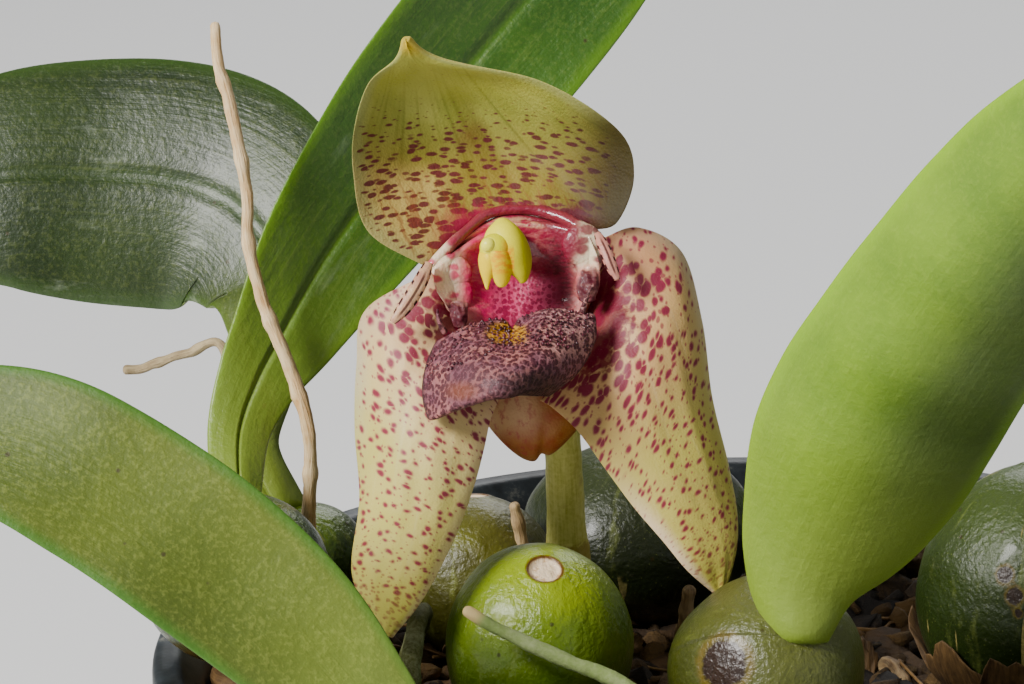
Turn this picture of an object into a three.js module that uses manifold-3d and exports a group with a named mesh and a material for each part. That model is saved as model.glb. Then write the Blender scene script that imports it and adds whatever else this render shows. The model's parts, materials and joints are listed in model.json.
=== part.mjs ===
// A potted orchid: a creeping plant of round pseudobulbs, each with one leathery leaf, in a round pot,
// with one flower of three broad sepals on a short upright scape.
//
// Units are millimetres and +Z is up. The origin is the centre of the pot's underside, +X is to the right
// and -Y is towards the viewer. The plant's own heights are given above the pot's rim.

import * as THREE from 'three';
import { mergeVertices } from 'three/addons/utils/BufferGeometryUtils.js';
import Module from 'manifold-3d';

const wasm = await Module();
wasm.setup();

// Driving dimensions of the pot.
const POT_HEIGHT = 62;
const RIM_RADIUS = 40;
const FOOT_RADIUS = 27.5;
const FOOT_ROUND = 1.2;
const WALL = 1.7;
const FLOOR = 2;
const BAND_HEIGHT = 8;
const BAND_STEP = 1.6;
const LIP_ROUND = 0.7;
const DRAIN_HOLES = 6;
const DRAIN_RADIUS = 3.6;
const DRAIN_CIRCLE = 17;

// Driving dimensions of what fills it.
const GAP = 0.3;
const MEDIUM_BELOW_RIM = 3.2;
const MEDIUM_MOUND = 1.2;
const CHIPS = 38;
const MEDIUM_FINENESS = 0.15;
const RHIZOME_RADIUS = 1.2;

// Driving dimensions of the plant. The flower's own frame has x to its right, y up along its face and z
// out of its face; it leans back by FLOWER_TILT from facing straight up.
const FLOWER_AT = [-16.9, -6.4, 27.1];
const FLOWER_TILT = THREE.MathUtils.degToRad(73.8);
const SEPAL_THICKNESS = 0.8;
const LIP_THICKNESS = 1.2;
const LEAF_THICKNESS = 1.3;
const PETIOLE_THICKNESS = 2.4;

const COLOURS = {
  pot: 0x30373f,
  bark: 0x4a3526,
  rhizome: 0x6b5436,
  oldBulb: 0x83a532,
  darkBulb: 0x46641e,
  leaf: 0x467d2d,
  dryRoot: 0xa98258,
  freshRoot: 0xa9b783,
  scape: 0x969b46,
  sepal: 0xd2cd82,
  petal: 0xdcc8a0,
  throat: 0xb9194b,
  column: 0xe1dc8c,
  anther: 0xd7d778,
  lip: 0x4b2d3c,
  mentum: 0xbe7355,
};

// Small tools for points, curves and closed solids.

const vector = (point) => new THREE.Vector3(...point);

const smooth = (points) => new THREE.CatmullRomCurve3(points.map(vector), false, 'catmullrom', 0.5);

// A repeatable stream of numbers from 0 to 1.
function randomStream(seed) {
  let state = seed;
  return () => {
    state = (state * 16807) % 2147483647;
    return state / 2147483647;
  };
}

// The value at t, from 0 to 1, on the smooth line through evenly spaced values.
function profile(values, t) {
  const place = THREE.MathUtils.clamp(t, 0, 1) * (values.length - 1);
  const k = Math.min(Math.floor(place), values.length - 2);
  const u = place - k;
  const here = values[k];
  const next = values[k + 1];
  const before = values[k - 1] ?? 2 * here - next;
  const after = values[k + 2] ?? 2 * next - here;
  const bend = (2 * before - 5 * here + 4 * next - after) * u * u;
  const twist = (3 * here - before - 3 * next + after) * u * u * u;
  return 0.5 * (2 * here + (next - before) * u + bend + twist);
}

// A geometry with nothing but positions, its shared vertices merged.
function bare(geometry) {
  const copy = geometry.clone();
  copy.deleteAttribute('normal');
  copy.deleteAttribute('uv');
  return mergeVertices(copy, 1e-4);
}

function solidOf(geometry) {
  const mesh = bare(geometry);
  return new wasm.Manifold(new wasm.Mesh({
    numProp: 3,
    vertProperties: mesh.attributes.position.array,
    triVerts: new Uint32Array(mesh.index.array),
  }));
}

function geometryOf(solid) {
  const mesh = solid.getMesh();
  const geometry = new THREE.BufferGeometry();
  geometry.setAttribute('position', new THREE.BufferAttribute(mesh.vertProperties, 3));
  geometry.setIndex(new THREE.BufferAttribute(mesh.triVerts, 1));
  return geometry;
}

const largestBody = (solid) => solid.decompose().reduce((a, b) => (a.volume() > b.volume() ? a : b));

// The same closed shape with every face moved outwards by the gap.
function grown(geometry) {
  const mesh = bare(geometry);
  const position = mesh.attributes.position;
  const faces = Array.from({ length: position.count }, () => []);
  const corner = [new THREE.Vector3(), new THREE.Vector3(), new THREE.Vector3()];
  for (let k = 0; k < mesh.index.count; k += 3) {
    const ids = [0, 1, 2].map((i) => mesh.index.getX(k + i));
    ids.forEach((id, i) => corner[i].fromBufferAttribute(position, id));
    const normal = new THREE.Triangle(...corner).getNormal(new THREE.Vector3());
    ids.forEach((id) => faces[id].push(normal));
  }
  faces.forEach((normals, id) => {
    const mean = normals.reduce((sum, normal) => sum.add(normal), new THREE.Vector3()).normalize();
    const least = Math.max(0.45, Math.min(...normals.map((normal) => normal.dot(mean))));
    corner[0].fromBufferAttribute(position, id).addScaledVector(mean, GAP / least);
    position.setXYZ(id, ...corner[0].toArray());
  });
  return mesh;
}

// One body: the shape less its neighbours, each with the gap around it.
function carve(geometry, neighbours, tolerance = 0.01) {
  const cut = neighbours.reduce((solid, other) => solid.subtract(solidOf(grown(other))), solidOf(geometry));
  return geometryOf(largestBody(cut.simplify(tolerance)));
}

function fuse(geometries) {
  const joined = geometries.map(solidOf).reduce((a, b) => a.add(b));
  return geometryOf(largestBody(joined.simplify(0.01)));
}

// Moves every vertex of a closed primitive to place(x, y, z).
function warp(primitive, place) {
  const mesh = bare(primitive);
  const position = mesh.attributes.position;
  for (let id = 0; id < position.count; id += 1) {
    const moved = place(position.getX(id), position.getY(id), position.getZ(id));
    position.setXYZ(id, moved.x, moved.y, moved.z);
  }
  return mesh;
}

// A closed blade around surface(s, t), where s runs from -1 to 1 across it and t from 0 to 1 along it.
function blade(surface, thickness, across, along) {
  const box = new THREE.BoxGeometry(2, 1, 1, across, along, 1);
  const index = box.index.array;
  const back = box.groups[5];
  // The back's squares are split along the same diagonals as the front's.
  for (let k = back.start; k < back.start + back.count; k += 6) {
    const [a, b, d, , c] = index.slice(k, k + 6);
    index.set([a, b, c, a, c, d], k);
  }
  const step = 1e-3;
  return warp(box, (s, y, side) => {
    const t = y + 0.5;
    const alongS = surface(s + step, t).sub(surface(s - step, t));
    const alongT = surface(s, Math.min(t + step, 1)).sub(surface(s, Math.max(t - step, 0)));
    const normal = alongS.cross(alongT).normalize();
    return surface(s, t).addScaledVector(normal, side * thickness(s, t));
  });
}

// A closed round rod along a curve, with radius(t).
function rod(points, radius, sides, steps) {
  const curve = smooth(points);
  const frames = curve.computeFrenetFrames(steps, false);
  return warp(new THREE.CylinderGeometry(1, 1, 1, sides, steps), (x, y, z) => {
    const k = Math.round((y + 0.5) * steps);
    const size = radius(k / steps);
    return curve.getPointAt(k / steps)
      .addScaledVector(frames.normals[k], x * size)
      .addScaledVector(frames.binormals[k], -z * size);
  });
}

// A rounded body around a centre, with radii along its own x, y and z, shaped by swell(direction).
function pebble(centre, radii, swell, sides, rings) {
  return warp(new THREE.SphereGeometry(1, sides, rings), (x, y, z) => {
    const size = swell(new THREE.Vector3(x, y, z));
    return new THREE.Vector3(x * radii[0], y * radii[1], z * radii[2]).multiplyScalar(size).add(vector(centre));
  });
}

// The smooth surface through rows of three points: left margin, middle and right margin. Each margin
// curls back by curl millimetres.
function sepalSurface(rows, curl) {
  const [left, middle, right] = [0, 1, 2].map((k) => smooth(rows.map((row) => row[k])));
  return (s, t) => {
    const point = left.getPoint(t).multiplyScalar((s * (s - 1)) / 2);
    point.addScaledVector(middle.getPoint(t), 1 - s * s);
    point.addScaledVector(right.getPoint(t), (s * (s + 1)) / 2);
    const edge = Math.max(0, Math.abs(s) - 0.6) / 0.4;
    point.z -= (s < 0 ? curl[0] : curl[1]) * edge * edge * Math.sin(Math.PI * t);
    return point;
  };
}

// The pot.

const innerRadius = (height) => THREE.MathUtils.mapLinear(
  height, FLOOR, POT_HEIGHT, FOOT_RADIUS - WALL, RIM_RADIUS - BAND_STEP - WALL);

function potGeometry() {
  const bandFoot = POT_HEIGHT - BAND_HEIGHT;
  const wallTop = RIM_RADIUS - BAND_STEP - 0.5;
  const outline = [
    [0, 0],
    [FOOT_RADIUS - FOOT_ROUND, 0],
    [FOOT_RADIUS, FOOT_ROUND],
    [wallTop, bandFoot],
    [RIM_RADIUS - 0.3, bandFoot + 0.2],
    [RIM_RADIUS, bandFoot + LIP_ROUND],
    [RIM_RADIUS, POT_HEIGHT - LIP_ROUND],
    [RIM_RADIUS - LIP_ROUND, POT_HEIGHT],
    [RIM_RADIUS - WALL, POT_HEIGHT],
    [innerRadius(POT_HEIGHT), POT_HEIGHT - BAND_STEP],
    [innerRadius(FLOOR + FOOT_ROUND), FLOOR + FOOT_ROUND],
    [innerRadius(FLOOR) - FOOT_ROUND, FLOOR],
    [0, FLOOR],
  ].map(([radius, height]) => new THREE.Vector2(radius, height));
  let pot = solidOf(new THREE.LatheGeometry(outline, 40).rotateX(Math.PI / 2));
  for (let k = 0; k < DRAIN_HOLES; k += 1) {
    const turn = (2 * Math.PI * k) / DRAIN_HOLES;
    const drill = new THREE.CylinderGeometry(DRAIN_RADIUS, DRAIN_RADIUS, 4 * FLOOR, 12).rotateX(Math.PI / 2);
    drill.translate(DRAIN_CIRCLE * Math.cos(turn), DRAIN_CIRCLE * Math.sin(turn), 0);
    pot = pot.subtract(solidOf(drill));
  }
  return geometryOf(pot);
}

// The pseudobulbs. Each has its place in plan, top and foot above the rim, diameter, and the lean of its
// apex in plan, as a share of its height.
const BULBS = {
  front: { at: [-15.5, -10], top: 10, foot: -2.8, diameter: 11.6, lean: [0, 0] },
  olive: { at: [-19.5, 6], top: 7.9, foot: -2.8, diameter: 10.5, lean: [-0.05, 0] },
  behind_scape: { at: [-8.6, 13], top: 9.3, foot: -2.8, diameter: 15.5, lean: [0, 0.05] },
  right_front: { at: [-1.9, -18], top: 11.3, foot: -1.6, diameter: 11.6, lean: [0.3, -0.75] },
  far_right: { at: [15.5, -6], top: 13.8, foot: -2.6, diameter: 14.7, lean: [0.05, 0.05] },
  over_rim: { at: [-34.5, -2], top: 10.8, foot: -0.3, diameter: 12, lean: [0, 0.2] },
  back_left: { at: [-31, 11.5], top: 5.6, foot: -2.6, diameter: 9, lean: [-0.3, 0.1] },
  left_front: { at: [-17.5, -26.6], top: 5.6, foot: -2.6, diameter: 9.6, lean: [-0.35, -0.35] },
  back_right: { at: [20, 12], top: 9, foot: -2.8, diameter: 11, lean: [0.2, 0.1] },
  back: { at: [5.4, 20], top: 8, foot: -2.8, diameter: 10.4, lean: [0.1, 0.1] },
  near_front: { at: [8, -27], top: 5, foot: -2.8, diameter: 9.8, lean: [0.1, -0.3] },
  right_edge: { at: [24, -18.5], top: 8.5, foot: -2.8, diameter: 11, lean: [0.2, 0] },
};

const bulbAxis = (bulb) => new THREE.Vector3(...bulb.lean, Math.sqrt(1 - Math.hypot(...bulb.lean) ** 2));

const bulbCentre = (bulb) => new THREE.Vector3(...bulb.at, (bulb.top + bulb.foot) / 2);

const bulbApex = (bulb, proud) => bulbCentre(bulb)
  .addScaledVector(bulbAxis(bulb), (bulb.top - bulb.foot) / 2 + proud).toArray();

function bulbGeometry(bulb, order) {
  const half = (bulb.top - bulb.foot) / 2;
  const radius = bulb.diameter / 2;
  const ribs = (at) => 1 + 0.018 * Math.cos(5 * Math.atan2(at.z, at.x) + order) * (1 - at.y * at.y);
  const upright = pebble([0, 0, 0], [radius, half, radius], ribs, 12, 8).rotateX(Math.PI / 2);
  const turn = new THREE.Quaternion().setFromUnitVectors(new THREE.Vector3(0, 0, 1), bulbAxis(bulb));
  return upright.applyQuaternion(turn).translate(...bulbCentre(bulb).toArray());
}

// The leaves. Each stands on a pseudobulb and has the points of its midrib above the petiole's foot, the
// way its upper face looks at its base and at its tip, its half width, and how far its margins cup
// forwards, as an angle. An outline gives the half width's share at even steps from base to tip.
const LEAF_OUTLINE = [0.23, 0.43, 0.72, 0.9, 0.99, 1, 0.98, 0.87, 0.62, 0.08];
const LATE_OUTLINE = [0.19, 0.22, 0.34, 0.7, 0.95, 1.02, 1, 0.88, 0.62, 0.08];
const EARLY_OUTLINE = [0.24, 0.74, 0.99, 1.04, 1, 0.96, 0.92, 0.84, 0.62, 0.1];
const LEAVES = {
  left_front: {
    bulb: 'left_front',
    midrib: [[-22.7, -32.6, 5.6], [-25.5, -33.4, 8.6], [-29.5, -32.6, 12.9], [-34.5, -31.8, 17],
      [-40.2, -30.2, 20.4], [-45.9, -28.6, 22.5], [-53, -26.5, 21.8], [-59, -24.5, 18.5]],
    faces: [[-0.3, -0.9, 0.4], [0.15, -0.7, 0.75]],
    outline: LEAF_OUTLINE,
    halfWidth: 4.9,
    cup: 0.35,
  },
  right: {
    bulb: 'right_front',
    midrib: [[-0.1, -22.3, 11.9], [1.3, -24.1, 16.5], [4.3, -29.7, 25.5], [8.6, -36, 34.9],
      [13.8, -42.4, 44], [17.5, -46, 49.2]],
    faces: [[-0.15, -1, 0], [-0.25, -1, -0.1]],
    outline: EARLY_OUTLINE,
    halfWidth: 6.6,
    cup: -0.5,
  },
  middle: {
    bulb: 'over_rim',
    midrib: [[-34.6, 3.1, 13.3], [-33.5, 5.5, 16.2], [-31.8, 7.9, 18.9], [-28.8, 11.3, 23.4],
      [-24.8, 14.8, 28.4], [-18.9, 18.8, 35], [-13.2, 22.2, 40.6], [-7.6, 25.2, 45.4], [-3.4, 27, 48]],
    faces: [[0.2, -1, 0.1], [0.25, -0.85, 0.4]],
    outline: [0.24, 0.36, 0.58, 0.78, 0.92, 1, 1.02, 0.93, 0.66, 0.08],
    halfWidth: 6.5,
    cup: 0.5,
  },
  back_left: {
    bulb: 'back_left',
    midrib: [[-34.2, 13, 9], [-33.7, 15, 12.6], [-32.9, 17.6, 15.8], [-32.7, 20.3, 18.8], [-34.5, 23.2, 21.8],
      [-38.3, 25.8, 23.5], [-43.8, 27, 24], [-52, 27, 24], [-58.5, 26.5, 22], [-63, 25.5, 18.5]],
    faces: [[-0.35, -0.9, 0.2], [0, -0.8, 0.6]],
    outline: LATE_OUTLINE,
    halfWidth: 8.6,
    cup: -0.25,
  },
  back: {
    bulb: 'back',
    midrib: [[8.4, 22.6, 10.2], [11.6, 25.5, 12.6], [16.7, 29.7, 15.8], [22.7, 33.6, 18.2],
      [28.6, 36.5, 19], [34, 39, 18]],
    faces: [[-0.3, -0.8, 0.4], [-0.2, -0.5, 0.8]],
    outline: LEAF_OUTLINE,
    halfWidth: 5.6,
    cup: 0.3,
  },
  back_right: {
    bulb: 'back_right',
    midrib: [[24.5, 15.5, 11.5], [31, 18.5, 18], [38, 21, 24], [46, 23, 28], [54, 24, 29.5], [60, 24, 28]],
    faces: [[-0.4, -0.5, 0.8], [0.1, -0.4, 0.9]],
    outline: LEAF_OUTLINE,
    halfWidth: 6.2,
    cup: 0.35,
  },
  near_front: {
    bulb: 'near_front',
    midrib: [[9.8, -34, 7], [12, -41, 8.3], [15, -49, 7.5], [18.5, -57, 4], [21.5, -63, -1.5], [23, -66, -6]],
    faces: [[0.1, 0.3, 0.95], [0.2, -0.5, 0.85]],
    outline: LEAF_OUTLINE,
    halfWidth: 6,
    cup: 0.35,
  },
  right_edge: {
    bulb: 'right_edge',
    midrib: [[28, -19.3, 11.5], [34.5, -20.5, 17], [43, -22, 21.5], [52, -23, 23.5], [60, -24, 22.5]],
    faces: [[-0.7, -0.2, 0.7], [0, -0.3, 0.95]],
    outline: LEAF_OUTLINE,
    halfWidth: 6.2,
    cup: 0.3,
  },
};

function leafGeometry(leaf) {
  const curve = smooth([bulbApex(BULBS[leaf.bulb], GAP), ...leaf.midrib]);
  const [faceBase, faceTip] = leaf.faces.map((face) => vector(face).normalize());
  const surface = (s, t) => {
    const tangent = curve.getTangentAt(t);
    const across = tangent.clone().cross(faceBase.clone().lerp(faceTip, t)).normalize();
    const out = across.clone().cross(tangent);
    const reach = (leaf.halfWidth * profile(leaf.outline, t)) / leaf.cup;
    return curve.getPointAt(t)
      .addScaledVector(across, reach * Math.sin(s * leaf.cup))
      .addScaledVector(out, reach * (1 - Math.cos(s * leaf.cup)));
  };
  const thickness = (s, t) => {
    const middle = THREE.MathUtils.lerp(PETIOLE_THICKNESS, LEAF_THICKNESS, Math.min(1, 4 * t));
    return THREE.MathUtils.lerp(middle, 0.65, s * s);
  };
  return blade(surface, thickness, 6, 10);
}

// Stems and roots, by the points that they follow above the rim and their radii from end to end.
const SCAPE_POINTS = [[-13.4, 1.2, -5], [-13.5, 0.8, 0.1], [-13.6, -0.6, 6.7], [-14, -3.6, 15.2]];
const SCAPE_RADII = [1.25, 1.35, 1.5, 1.1, 1.05, 1.1];
const STEMS = {
  dry_stalk: {
    points: [[-30.2, 5, -5], [-30.2, 4.4, 2], [-30.2, 4, 6.7], [-30, 3, 12.8], [-31.2, 4, 17.1], [-33, 5, 21.5],
      [-33.9, 6, 25.2], [-33.9, 6.5, 27.7], [-34.4, 7, 30.8], [-35.1, 8, 33.8], [-35.8, 9, 36.2], [-36, 10, 38.5]],
    radii: [0.6, 0.55, 0.6, 0.5, 0.55, 0.5, 0.45, 0.5, 0.4],
    colour: 'dryRoot',
    steps: 16,
  },
  dry_root: {
    points: [[-34.6, 6.6, -4.5], [-34.5, 7.4, 4], [-34.6, 9.2, 11], [-36, 11.3, 16.5], [-38.2, 12.2, 15.9],
      [-40.3, 13, 15], [-41.7, 13.8, 14.3], [-42.8, 13.8, 14.2]],
    radii: [0.5, 0.4, 0.35, 0.3, 0.3],
    colour: 'dryRoot',
    steps: 12,
  },
  green_root: {
    points: [[-20, -17.5, 8.7], [-17.8, -18, 7.5], [-14.2, -19, 6.1], [-10.7, -20, 4.9], [-8, -21.2, 2.8],
      [-6.8, -22.2, -1], [-6.5, -22.6, -5]],
    radii: [0.35, 0.45, 0.5, 0.5, 0.5],
    colour: 'freshRoot',
    steps: 10,
  },
  looped_root: {
    points: [[-24, -3.5, -5.5], [-23.6, -5.5, 1], [-22.6, -8.5, 5], [-22.9, -11.5, 5.6], [-23.2, -15, 3.2],
      [-22.6, -18, -1], [-22.4, -19, -5]],
    radii: [0.6, 0.6, 0.6, 0.6],
    colour: 'freshRoot',
    steps: 10,
  },
};

function stemGeometry(stem) {
  return rod(stem.points, (t) => profile(stem.radii, t), 6, stem.steps);
}

// The creeping rhizome runs under the pseudobulbs' feet, in two lines that cross under the front one.
const RHIZOME_LINES = [
  ['left_front', 'front', 'olive', 'over_rim', 'back_left'],
  ['front', 'behind_scape', 'back', 'back_right', 'far_right', 'right_edge', 'near_front', 'right_front'],
];

function rhizomeGeometry() {
  const sunk = RHIZOME_RADIUS + GAP + 0.1;
  const lines = RHIZOME_LINES.map((names) => rod(
    names.map((name) => [...BULBS[name].at, BULBS[name].foot - sunk]), () => RHIZOME_RADIUS, 5, 3 * names.length));
  return fuse(lines);
}

// Bark chips and grit fill the pot; the top is a low mound of loose chips.
function mediumGeometry(neighbours) {
  const top = POT_HEIGHT - MEDIUM_BELOW_RIM;
  const reach = (height) => innerRadius(height) - GAP;
  const outline = [
    [0, FLOOR + GAP],
    [reach(FLOOR) - FOOT_ROUND - GAP, FLOOR + GAP],
    [reach(FLOOR + 2 * FOOT_ROUND) - 0.2, FLOOR + 2 * FOOT_ROUND],
    [reach(top) - 0.2, top],
    [reach(top) * 0.6, top + MEDIUM_MOUND * 0.7],
    [0, top + MEDIUM_MOUND],
  ].map(([radius, height]) => new THREE.Vector2(radius, height));
  const random = randomStream(11);
  const pieces = [new THREE.LatheGeometry(outline, 40).rotateX(Math.PI / 2)];
  for (let k = 0; k < CHIPS; k += 1) {
    const size = [6 + 5 * random(), 4 + 3 * random(), 2.4 + 1.6 * random()];
    const away = (reach(top) - 6.4) * Math.sqrt((k + 0.5) / CHIPS);
    const turn = k * 2.39996;
    const chip = new THREE.BoxGeometry(...size);
    chip.rotateX(random() - 0.5).rotateY(0.8 * (random() - 0.5)).rotateZ(Math.PI * random());
    chip.translate(away * Math.cos(turn), away * Math.sin(turn), top + 0.2 + random());
    pieces.push(chip);
  }
  return carve(fuse(pieces), neighbours, MEDIUM_FINENESS);
}

// The flower, in its own frame. The sepals are given by rows of three points from base to tip.
const DORSAL_ROWS = [
  [[-5.3, -0.4, 0.2], [-0.7, 3.1, -1.3], [4.6, 1.9, 0]],
  [[-8.9, 1.8, 1.5], [-1.3, 5.1, -2.2], [6.2, 2.4, 1]],
  [[-9.8, 5.4, 1.8], [-2.2, 7.1, -2.9], [7.2, 5.2, 1.2]],
  [[-9.7, 8.2, 1.8], [-3.2, 9.4, -2.2], [6.2, 8, 1.2]],
  [[-8.6, 10.6, 1.8], [-4.4, 11.3, -0.8], [2.9, 10.3, 1.2]],
  [[-7.3, 12.1, 2], [-5.8, 12.5, 1.2], [-2.4, 12, 1.5]],
  [[-6.6, 12.8, 2.6], [-6.4, 13, 2.5], [-6.1, 12.8, 2.5]],
];
const LEFT_ROWS = [
  [[-5.1, -0.6, 1.2], [-2.9, -4.5, 0.2], [0.3, -9.3, 1.6]],
  [[-9.1, -2.9, -0.2], [-5.2, -6.9, 2], [-1.3, -9.9, 1.8]],
  [[-9.7, -6.3, -0.6], [-5.8, -9, 2.4], [-1.9, -11.4, 2]],
  [[-9.8, -10.2, -0.6], [-6.2, -11.9, 2.8], [-2.5, -13.6, 2.2]],
  [[-9.5, -14.5, -0.2], [-6.7, -15.3, 2.6], [-3.6, -16.6, 2.2]],
  [[-9.9, -19, 1], [-7.7, -19.5, 2.4], [-5.5, -20.3, 2.5]],
  [[-8.2, -22.4, 2.2], [-7.8, -22.6, 2.3], [-7.4, -22.7, 2.5]],
];
const RIGHT_ROWS = [
  [[1.5, -8.4, 1.2], [4.3, -3.6, -1.4], [5.2, 1.4, 0.6]],
  [[2.5, -8.8, 1.4], [6.1, -3.4, 0.3], [7.5, 2.1, 0]],
  [[3.8, -10.3, 1.6], [7.9, -4.8, 1.6], [10.2, 0.6, -0.8]],
  [[5.4, -12.5, 1.8], [8.8, -7.5, 1.9], [11.4, -3.5, -0.8]],
  [[7.1, -14.8, 1.9], [9.8, -10.9, 1.7], [12, -8.1, -0.6]],
  [[8.9, -16.9, 2.2], [11.3, -14.5, 1.4], [13, -12.4, -0.4]],
  [[10.4, -18.7, 2.2], [12.4, -17.4, 1.1], [13.5, -16, 0.2]],
  [[12.1, -20.2, 1.2], [12.4, -20, 1.1], [12.8, -19.7, 0.9]],
];
const COLUMN_FOOT_ROWS = [
  [[-1.6, -8.4, 0], [0.4, -8.6, -0.4], [2.2, -8.1, 0]],
  [[-2.4, -5, 1], [0.2, -5.2, 0], [3.1, -4.5, 0.4]],
  [[-3.6, -3.4, 1.2], [0.1, -2.9, -0.8], [4.4, -2.3, 0.2]],
  [[-4.8, -1.7, 1.8], [0, -0.5, -1.5], [5.1, -0.4, 1.2]],
  [[-4.9, -0.5, 1.5], [-0.2, 2.4, -0.9], [4.5, 1.5, 1]],
];
const LIP_ROWS = [
  [[-0.9, -4.4, 1.6], [-0.2, -4.3, 1.9], [0.5, -4.3, 1.6]],
  [[-4.5, -4.7, 2.4], [-0.1, -4.1, 2.8], [4.3, -3.3, 2.2]],
  [[-5.3, -5.8, 3], [-0.2, -4.7, 4.4], [4.8, -4.1, 2.6]],
  [[-5.5, -7.7, 3.4], [-0.3, -5.6, 6.2], [4.6, -5.3, 2.8]],
  [[-5.1, -9.4, 3.6], [-0.4, -6.8, 7.4], [3.9, -6.8, 3.4]],
  [[-4.1, -8.5, 4.8], [-0.4, -8.3, 7.6], [2.8, -7.9, 4]],
];
const LIP_FOLD = 0.8;
const HORNS = [
  [[-4.2, -4.4, 2.6], [-4.6, -3.6, 3], [-4.7, -2.9, 3.1]],
  [[4, -3.2, 2.4], [4.3, -2.2, 2.8], [4.7, -1.4, 2.9]],
];
const OVARY_POINTS = [[2.6, -10, -5.8], [1.8, -7, -5], [1, -3.6, -4.4], [0.2, 0, -3.2]];
const OVARY_RADII = [1.15, 1.5, 1.9, 2, 1.6];
const MENTUM = { at: [0.9, -9, -1.7], radii: [2.8, 3.1, 1.9] };
const COLUMN_POINTS = [[0.1, 1.5, -0.6], [-0.1, 1.1, 0.8], [-0.3, 0.6, 2], [-0.5, 0.1, 2.9]];
const COLUMN_RADII = [1.1, 1.25, 1.2, 0.85];
const COLUMN_TEETH = [
  [[-0.9, 0.3, 2.4], [-1.5, -0.7, 2.7], [-1.8, -1.7, 2.6]],
  [[-0.4, 0.1, 2.8], [-0.6, -0.8, 3.1], [-0.7, -1.6, 3.1]],
  [[0.3, 0.3, 2.4], [0.6, -0.5, 2.4], [0.5, -1.3, 2.1]],
];
const ANTHER = { at: [-1.3, 0.8, 3.6], radii: [0.7, 0.65, 0.6] };
const PETALS = {
  left: { points: [[-5.2, -0.1, 2.2], [-5.8, -1.7, 2.9], [-6.9, -3.4, 3.1]], halfWidth: 0.36 },
  right: { points: [[4.9, 1.6, 1.8], [5.5, 0.2, 2.6], [5.9, -1.1, 2.8]], halfWidth: 0.36 },
};

const evenBlade = (thickness) => (s) => THREE.MathUtils.lerp(thickness, 0.6, s * s);

function petalGeometry(petal) {
  const curve = smooth(petal.points);
  const surface = (s, t) => {
    const across = curve.getTangentAt(t).cross(new THREE.Vector3(0, 0, 1)).normalize();
    return curve.getPointAt(t).addScaledVector(across, s * petal.halfWidth);
  };
  return blade(surface, () => 0.6, 1, 5);
}

function lipGeometry() {
  const sheet = sepalSurface(LIP_ROWS, [0, 0]);
  const surface = (s, t) => {
    const point = sheet(s, t);
    point.y += LIP_FOLD * Math.sin(Math.PI * s) ** 2 * (1 - t);
    return point;
  };
  const horns = HORNS.map((points) => rod(points, (t) => 0.3 - 0.15 * t, 5, 4));
  return fuse([blade(surface, evenBlade(LIP_THICKNESS), 8, 8), ...horns]);
}

function columnGeometry() {
  const teeth = COLUMN_TEETH.map((points) => rod(points, (t) => 0.45 - 0.25 * t, 6, 4));
  return fuse([rod(COLUMN_POINTS, (t) => profile(COLUMN_RADII, t), 10, 6), ...teeth]);
}

// Two round lobes with a groove between them.
function mentumGeometry() {
  const lobes = (at) => 1 - 0.16 * Math.exp(-((at.x * 4) ** 2)) * (1 - at.y) * 0.5;
  return pebble(MENTUM.at, MENTUM.radii, lobes, 14, 10);
}

// Assembly.

const plant = new THREE.Group();

function place(name, geometry, colour, into, roughness = 0.5) {
  const material = new THREE.MeshStandardMaterial({ color: COLOURS[colour], roughness, metalness: 0 });
  const mesh = new THREE.Mesh(geometry, material);
  mesh.name = name;
  into.add(mesh);
}

// What grows above the medium is in a group whose height is measured from the rim.
const growth = new THREE.Group();
growth.position.z = POT_HEIGHT;
plant.add(growth);

const flower = new THREE.Group();
flower.position.set(...FLOWER_AT);
flower.rotation.x = FLOWER_TILT;
growth.add(flower);

place('pot', potGeometry(), 'pot', plant, 0.45);

const bulbs = Object.entries(BULBS).map(([name, bulb], order) => [name, bulbGeometry(bulb, order)]);
const leaves = Object.entries(LEAVES).map(([name, leaf]) => [name, leafGeometry(leaf)]);
const stems = Object.entries(STEMS).map(([name, stem]) => [name, stemGeometry(stem), stem.colour]);
const rhizome = rhizomeGeometry();
const scape = carve(rod(SCAPE_POINTS, (t) => profile(SCAPE_RADII, t), 8, 10), [rhizome]);

const leafShapes = leaves.map(([, geometry]) => geometry);
bulbs.forEach(([name, geometry]) => {
  const old = ['front', 'olive', 'right_front'].includes(name);
  place(`pseudobulb_${name}`, carve(geometry, leafShapes), old ? 'oldBulb' : 'darkBulb', growth, 0.35);
});
leaves.forEach(([name, geometry]) => place(`leaf_${name}`, geometry, 'leaf', growth, 0.4));
stems.forEach(([name, geometry, colour]) => place(name, geometry, colour, growth, 0.8));
place('rhizome', rhizome, 'rhizome', growth, 0.9);
place('scape', scape, 'scape', growth);

const buried = [rhizome, scape, ...bulbs.map((entry) => entry[1]), ...stems.map((entry) => entry[1])];
const inPot = buried.map((geometry) => bare(geometry).translate(0, 0, POT_HEIGHT));
place('growing_medium', mediumGeometry(inPot), 'bark', plant, 0.95);

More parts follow.
